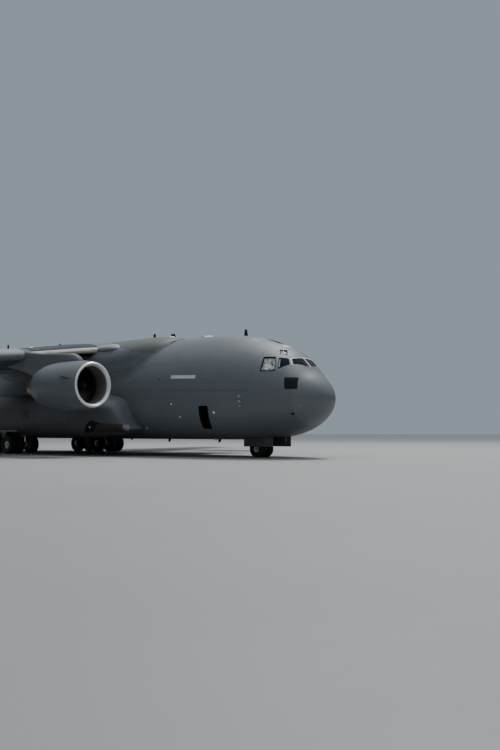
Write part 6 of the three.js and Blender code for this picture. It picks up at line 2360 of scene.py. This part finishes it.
def make_flight_deck():
    """Deck floor, bulkhead with its door, panel with screens, pedestal and the gear bay's tub."""
    inside = hull_solid(RADOME_END + WALL + 0.01, COCKPIT_END + 0.4, WALL + 0.006)
    floor = DECK["floor"]
    steps = meet(inside) + cut(bay_box())
    piece("gear_bay_tub", bay_box(DECK["wall"]), LEG_PAINT, replaces=["flight_deck"], steps=steps)
    deck = box((DECK["front"], DECK["bulkhead"][0]), (-8, 8), (floor - DECK["thickness"], floor))
    piece("deck_floor", deck, FLOOR_METAL, steps=meet(inside))
    bulkhead = box(DECK["bulkhead"], (-8, 8), (-1, 20))
    piece("deck_bulkhead", bulkhead, INSIDE_PAINT, steps=meet(inside))
    doorway = [slab((5.66, 5.71), (-0.4, 0.4), (floor, floor + 1.95), 0.02)]
    ring = ((0, 0.01), (0, 0.03), (0.03, 0.03), (0.03, 0.01))
    doorway.append(lathe(ring, (5.63, 0.3, 5.0), sides=20, hollow=True))
    piece("deck_door", merged(doorway), FLOOR_METAL)
    console = [
        slab((2.0, 2.3), (-1.32, 1.32), (floor - 0.02, 4.92), 0.04),
        slab((1.95, 2.5), (-1.3, 1.3), (4.92, 5.0), 0.035),
        slab((2.3, 3.25), (-0.24, 0.24), (floor - 0.02, 4.55), 0.04),
        slab((2.6, 4.6), (1.7, 2.1), (floor - 0.02, 4.7), 0.04),
        slab((2.6, 4.6), (-2.1, -1.7), (floor - 0.02, 4.7), 0.04),
    ]
    piece("deck_consoles", merged(console), INSIDE_PAINT, steps=meet(inside))
    screens = [
        slab((2.29, 2.312), (y - 0.15, y + 0.15), (4.5, 4.8), 0.008)
        for y in (-1.05, -0.7, -0.2, 0.2, 0.7, 1.05)
    ]
    screens += [slab((2.4 + k * 0.25, 2.6 + k * 0.25), (-0.17, 0.17), (4.54, 4.562), 0.008) for k in range(2)]
    piece("deck_screens", merged(screens), SCREEN)
    levers = []
    for y in (-0.12, -0.04, 0.04, 0.12):
        levers.append(rod((3.0, y, 4.5), (2.96, y, 4.68), 0.01, sides=10))
        levers.append(dome(((2.96, y, 4.67), UP_Z), 0.022, 0.03, 16))
    piece("thrust_levers", merged(levers), STEEL)
    sticks = []
    for side in SIDES.values():
        y = side * 0.78
        path = curve(((2.62, y, floor - 0.02), (2.66, y, 4.3), (2.8, y, 4.62)), 16)
        sticks.append(sweep(path, 0.022, 12))
        sticks.append(dome(((2.8, y, 4.6), UP_Z), 0.035, 0.12, 20))
    piece("control_sticks", merged(sticks), DARK)
    for name, side in SIDES.items():
        make_seat(name, side)


def make_hold():
    """Cargo floor with roller rails and tie-down points, wall frames, and stairs to the flight deck."""
    front, back = COCKPIT_END + CLEAR, RAMP["front"] - 0.15
    below = box((0, FAR), (-8, 8), (-1, FLOOR_TOP))
    floor = hull_solid(front, back, WALL + 0.006)
    piece("hold_floor", floor, FLOOR_METAL, replaces=["cargo_floor"], steps=meet(below))
    ends, heights = (front + 0.6, back - 0.1), (FLOOR_TOP - 0.01, FLOOR_TOP + 0.07)
    rails, points = [], []
    for y in ROLLER_Y:
        for edge in (-0.14, 0.1):
            rails.append(box(ends, (y + edge, y + edge + 0.04), heights))
        for s in np.arange(front + 0.8, back - 0.2, 0.4):
            rails.append(crossbar(np.array((s, y, FLOOR_TOP + 0.045)), 0.11, 0.032, 10))
    for y in (-2.5, -1.5, -0.4, 0.4, 1.5, 2.5):
        for s in np.arange(front + 1.0, back - 0.3, 1.0):
            points.append(rod((s, y, FLOOR_TOP - 0.004), (s, y, FLOOR_TOP + 0.012), 0.07, 0.055, sides=14))
    piece("hold_rails", merged(rails), STEEL)
    piece("tie_down_points", merged(points), DARK)
    hoops = [hull_wall(s, s + 0.07, WALL - 0.01, WALL + 0.1, 72) for s in np.arange(7.35, 28.5, 1.0)]
    piece("hold_frames", merged(hoops), INSIDE_PAINT, skin=hull_skin)
    stairs = []
    for step in range(9):
        s, z = 8.3 - 0.24 * step, FLOOR_TOP + 0.26 * (step + 1)
        stairs.append(slab((s, s + 0.28), (0.5, 1.3), (z - 0.04, z), 0.012))
    for y in (0.5, 1.3):
        stairs.append(rod((8.5, y, FLOOR_TOP), (6.2, y, FLOOR_TOP + 2.45), 0.035, sides=12))
        stairs.append(rod((8.5, y, FLOOR_TOP + 0.9), (6.2, y, FLOOR_TOP + 3.35), 0.022, sides=12))
    piece("deck_stairs", merged(stairs), STEEL)


make_flight_deck()
make_hold()


def tail_strake(side, count=24):
    """A fin along the tail's lower edge: its depth follows a sine, and it leans outward."""
    station = np.linspace(36.6, 41.7, count)
    t = np.linspace(0.04, 0.98, count)
    depth = 0.52 * np.sin(math.pi * t ** 0.8) ** 0.7
    y = door_side(station) + 0.34
    foot = np.column_stack([station, side * y, hull_bottom(station, y) + 0.05])
    tip = foot + depth[:, None] * np.array((0.1, side * 0.42, -0.9))
    across = np.array((0, 0.03, 0))
    return loft(np.stack([foot - across, foot + across, tip + across * 0.4, tip - across * 0.4], axis=1))


def make_tail_fittings():
    """Strakes under the tail, and the lamp and the beacon of the bullet fairing."""
    for name, side in SIDES.items():
        piece(f"tail_strake_{name}", tail_strake(side), HULL_PAINT)
    end = np.array((BULLET["nose"] + 7.68, 0, BULLET["z"]))
    piece("tail_lamp", dome((end, np.array((1.0, 0, 0))), 0.05, 0.09, 24), LAMP_GLASS)
    top = np.array((BULLET["nose"] + 2.6, 0, BULLET["z"] + 0.4))
    piece("fin_beacon", dome((top, UP_Z), 0.07, 0.02, 24), RED_GLASS)


make_tail_fittings()


def make_stage():
    """A pale floor."""
    floor = as_object("floor", box((-400, 500), (-450, 450), (-1, 0)))
    floor.data.materials.append(FLOOR_FINISH)


FLOOR_FINISH = plain("pale_floor", (0.3, 0.3, 0.297, 1), 0.6, mottle=0.04, scale=0.3)
make_stage()
CAMERA = {"place": (27.04, -19.52, 0.75), "yaw": 130.565, "pitch": 3.8364, "lens": 40.8}
camera_data = bpy.data.cameras.new("camera")
camera_data.lens = CAMERA["lens"]
camera_data.sensor_width = 36
camera_data.clip_end = 1000
camera = bpy.data.objects.new("camera", camera_data)
camera.location = CAMERA["place"]
camera.rotation_euler = (math.radians(90 + CAMERA["pitch"]), 0, math.radians(CAMERA["yaw"] - 90))
bpy.context.scene.collection.objects.link(camera)
bpy.context.scene.camera = camera


def add_light(name, energy, size, location, colour):
    """A square area light that looks at the model's middle."""
    data = bpy.data.lights.new(name, "AREA")
    data.energy = energy
    data.size = size
    data.color = colour
    light = bpy.data.objects.new(name, data)
    light.location = location
    aim = np.array((6.0, 0.0, 2.5)) - np.array(location)
    tilt = math.atan2(math.hypot(aim[0], aim[1]), -aim[2])
    light.rotation_euler = (tilt, 0, math.atan2(aim[1], aim[0]) - math.pi / 2)
    bpy.context.scene.collection.objects.link(light)


add_light("key", 19000, 14, (8, 18, 42), (1.0, 0.99, 0.97))


def make_world():
    """Light from above that fades to the horizon, and a plain blue-grey backdrop for the camera."""
    world = bpy.data.worlds.new("studio")
    world.use_nodes = True
    tree = world.node_tree
    place = shader_node(tree, "ShaderNodeTexCoord").outputs["Generated"]
    above = shader_node(tree, "ShaderNodeSeparateXYZ", {0: place}).outputs[2]
    height = fade(tree, above, 0.05, 0.85)
    colour = blend_colour(tree, height, (0.05, 0.06, 0.07, 1), (0.86, 0.93, 1.0, 1))
    tree.links.new(colour, tree.nodes["Background"].inputs["Color"])
    tree.nodes["Background"].inputs["Strength"].default_value = 1.0
    backdrop = shader_node(tree, "ShaderNodeBackground", {"Color": (0.265, 0.325, 0.375, 1)})
    seen = shader_node(tree, "ShaderNodeLightPath").outputs["Is Camera Ray"]
    sockets = {0: seen, 1: tree.nodes["Background"].outputs[0], 2: backdrop.outputs[0]}
    either = shader_node(tree, "ShaderNodeMixShader", sockets)
    tree.links.new(either.outputs[0], tree.nodes["World Output"].inputs["Surface"])
    bpy.context.scene.world = world


make_world()
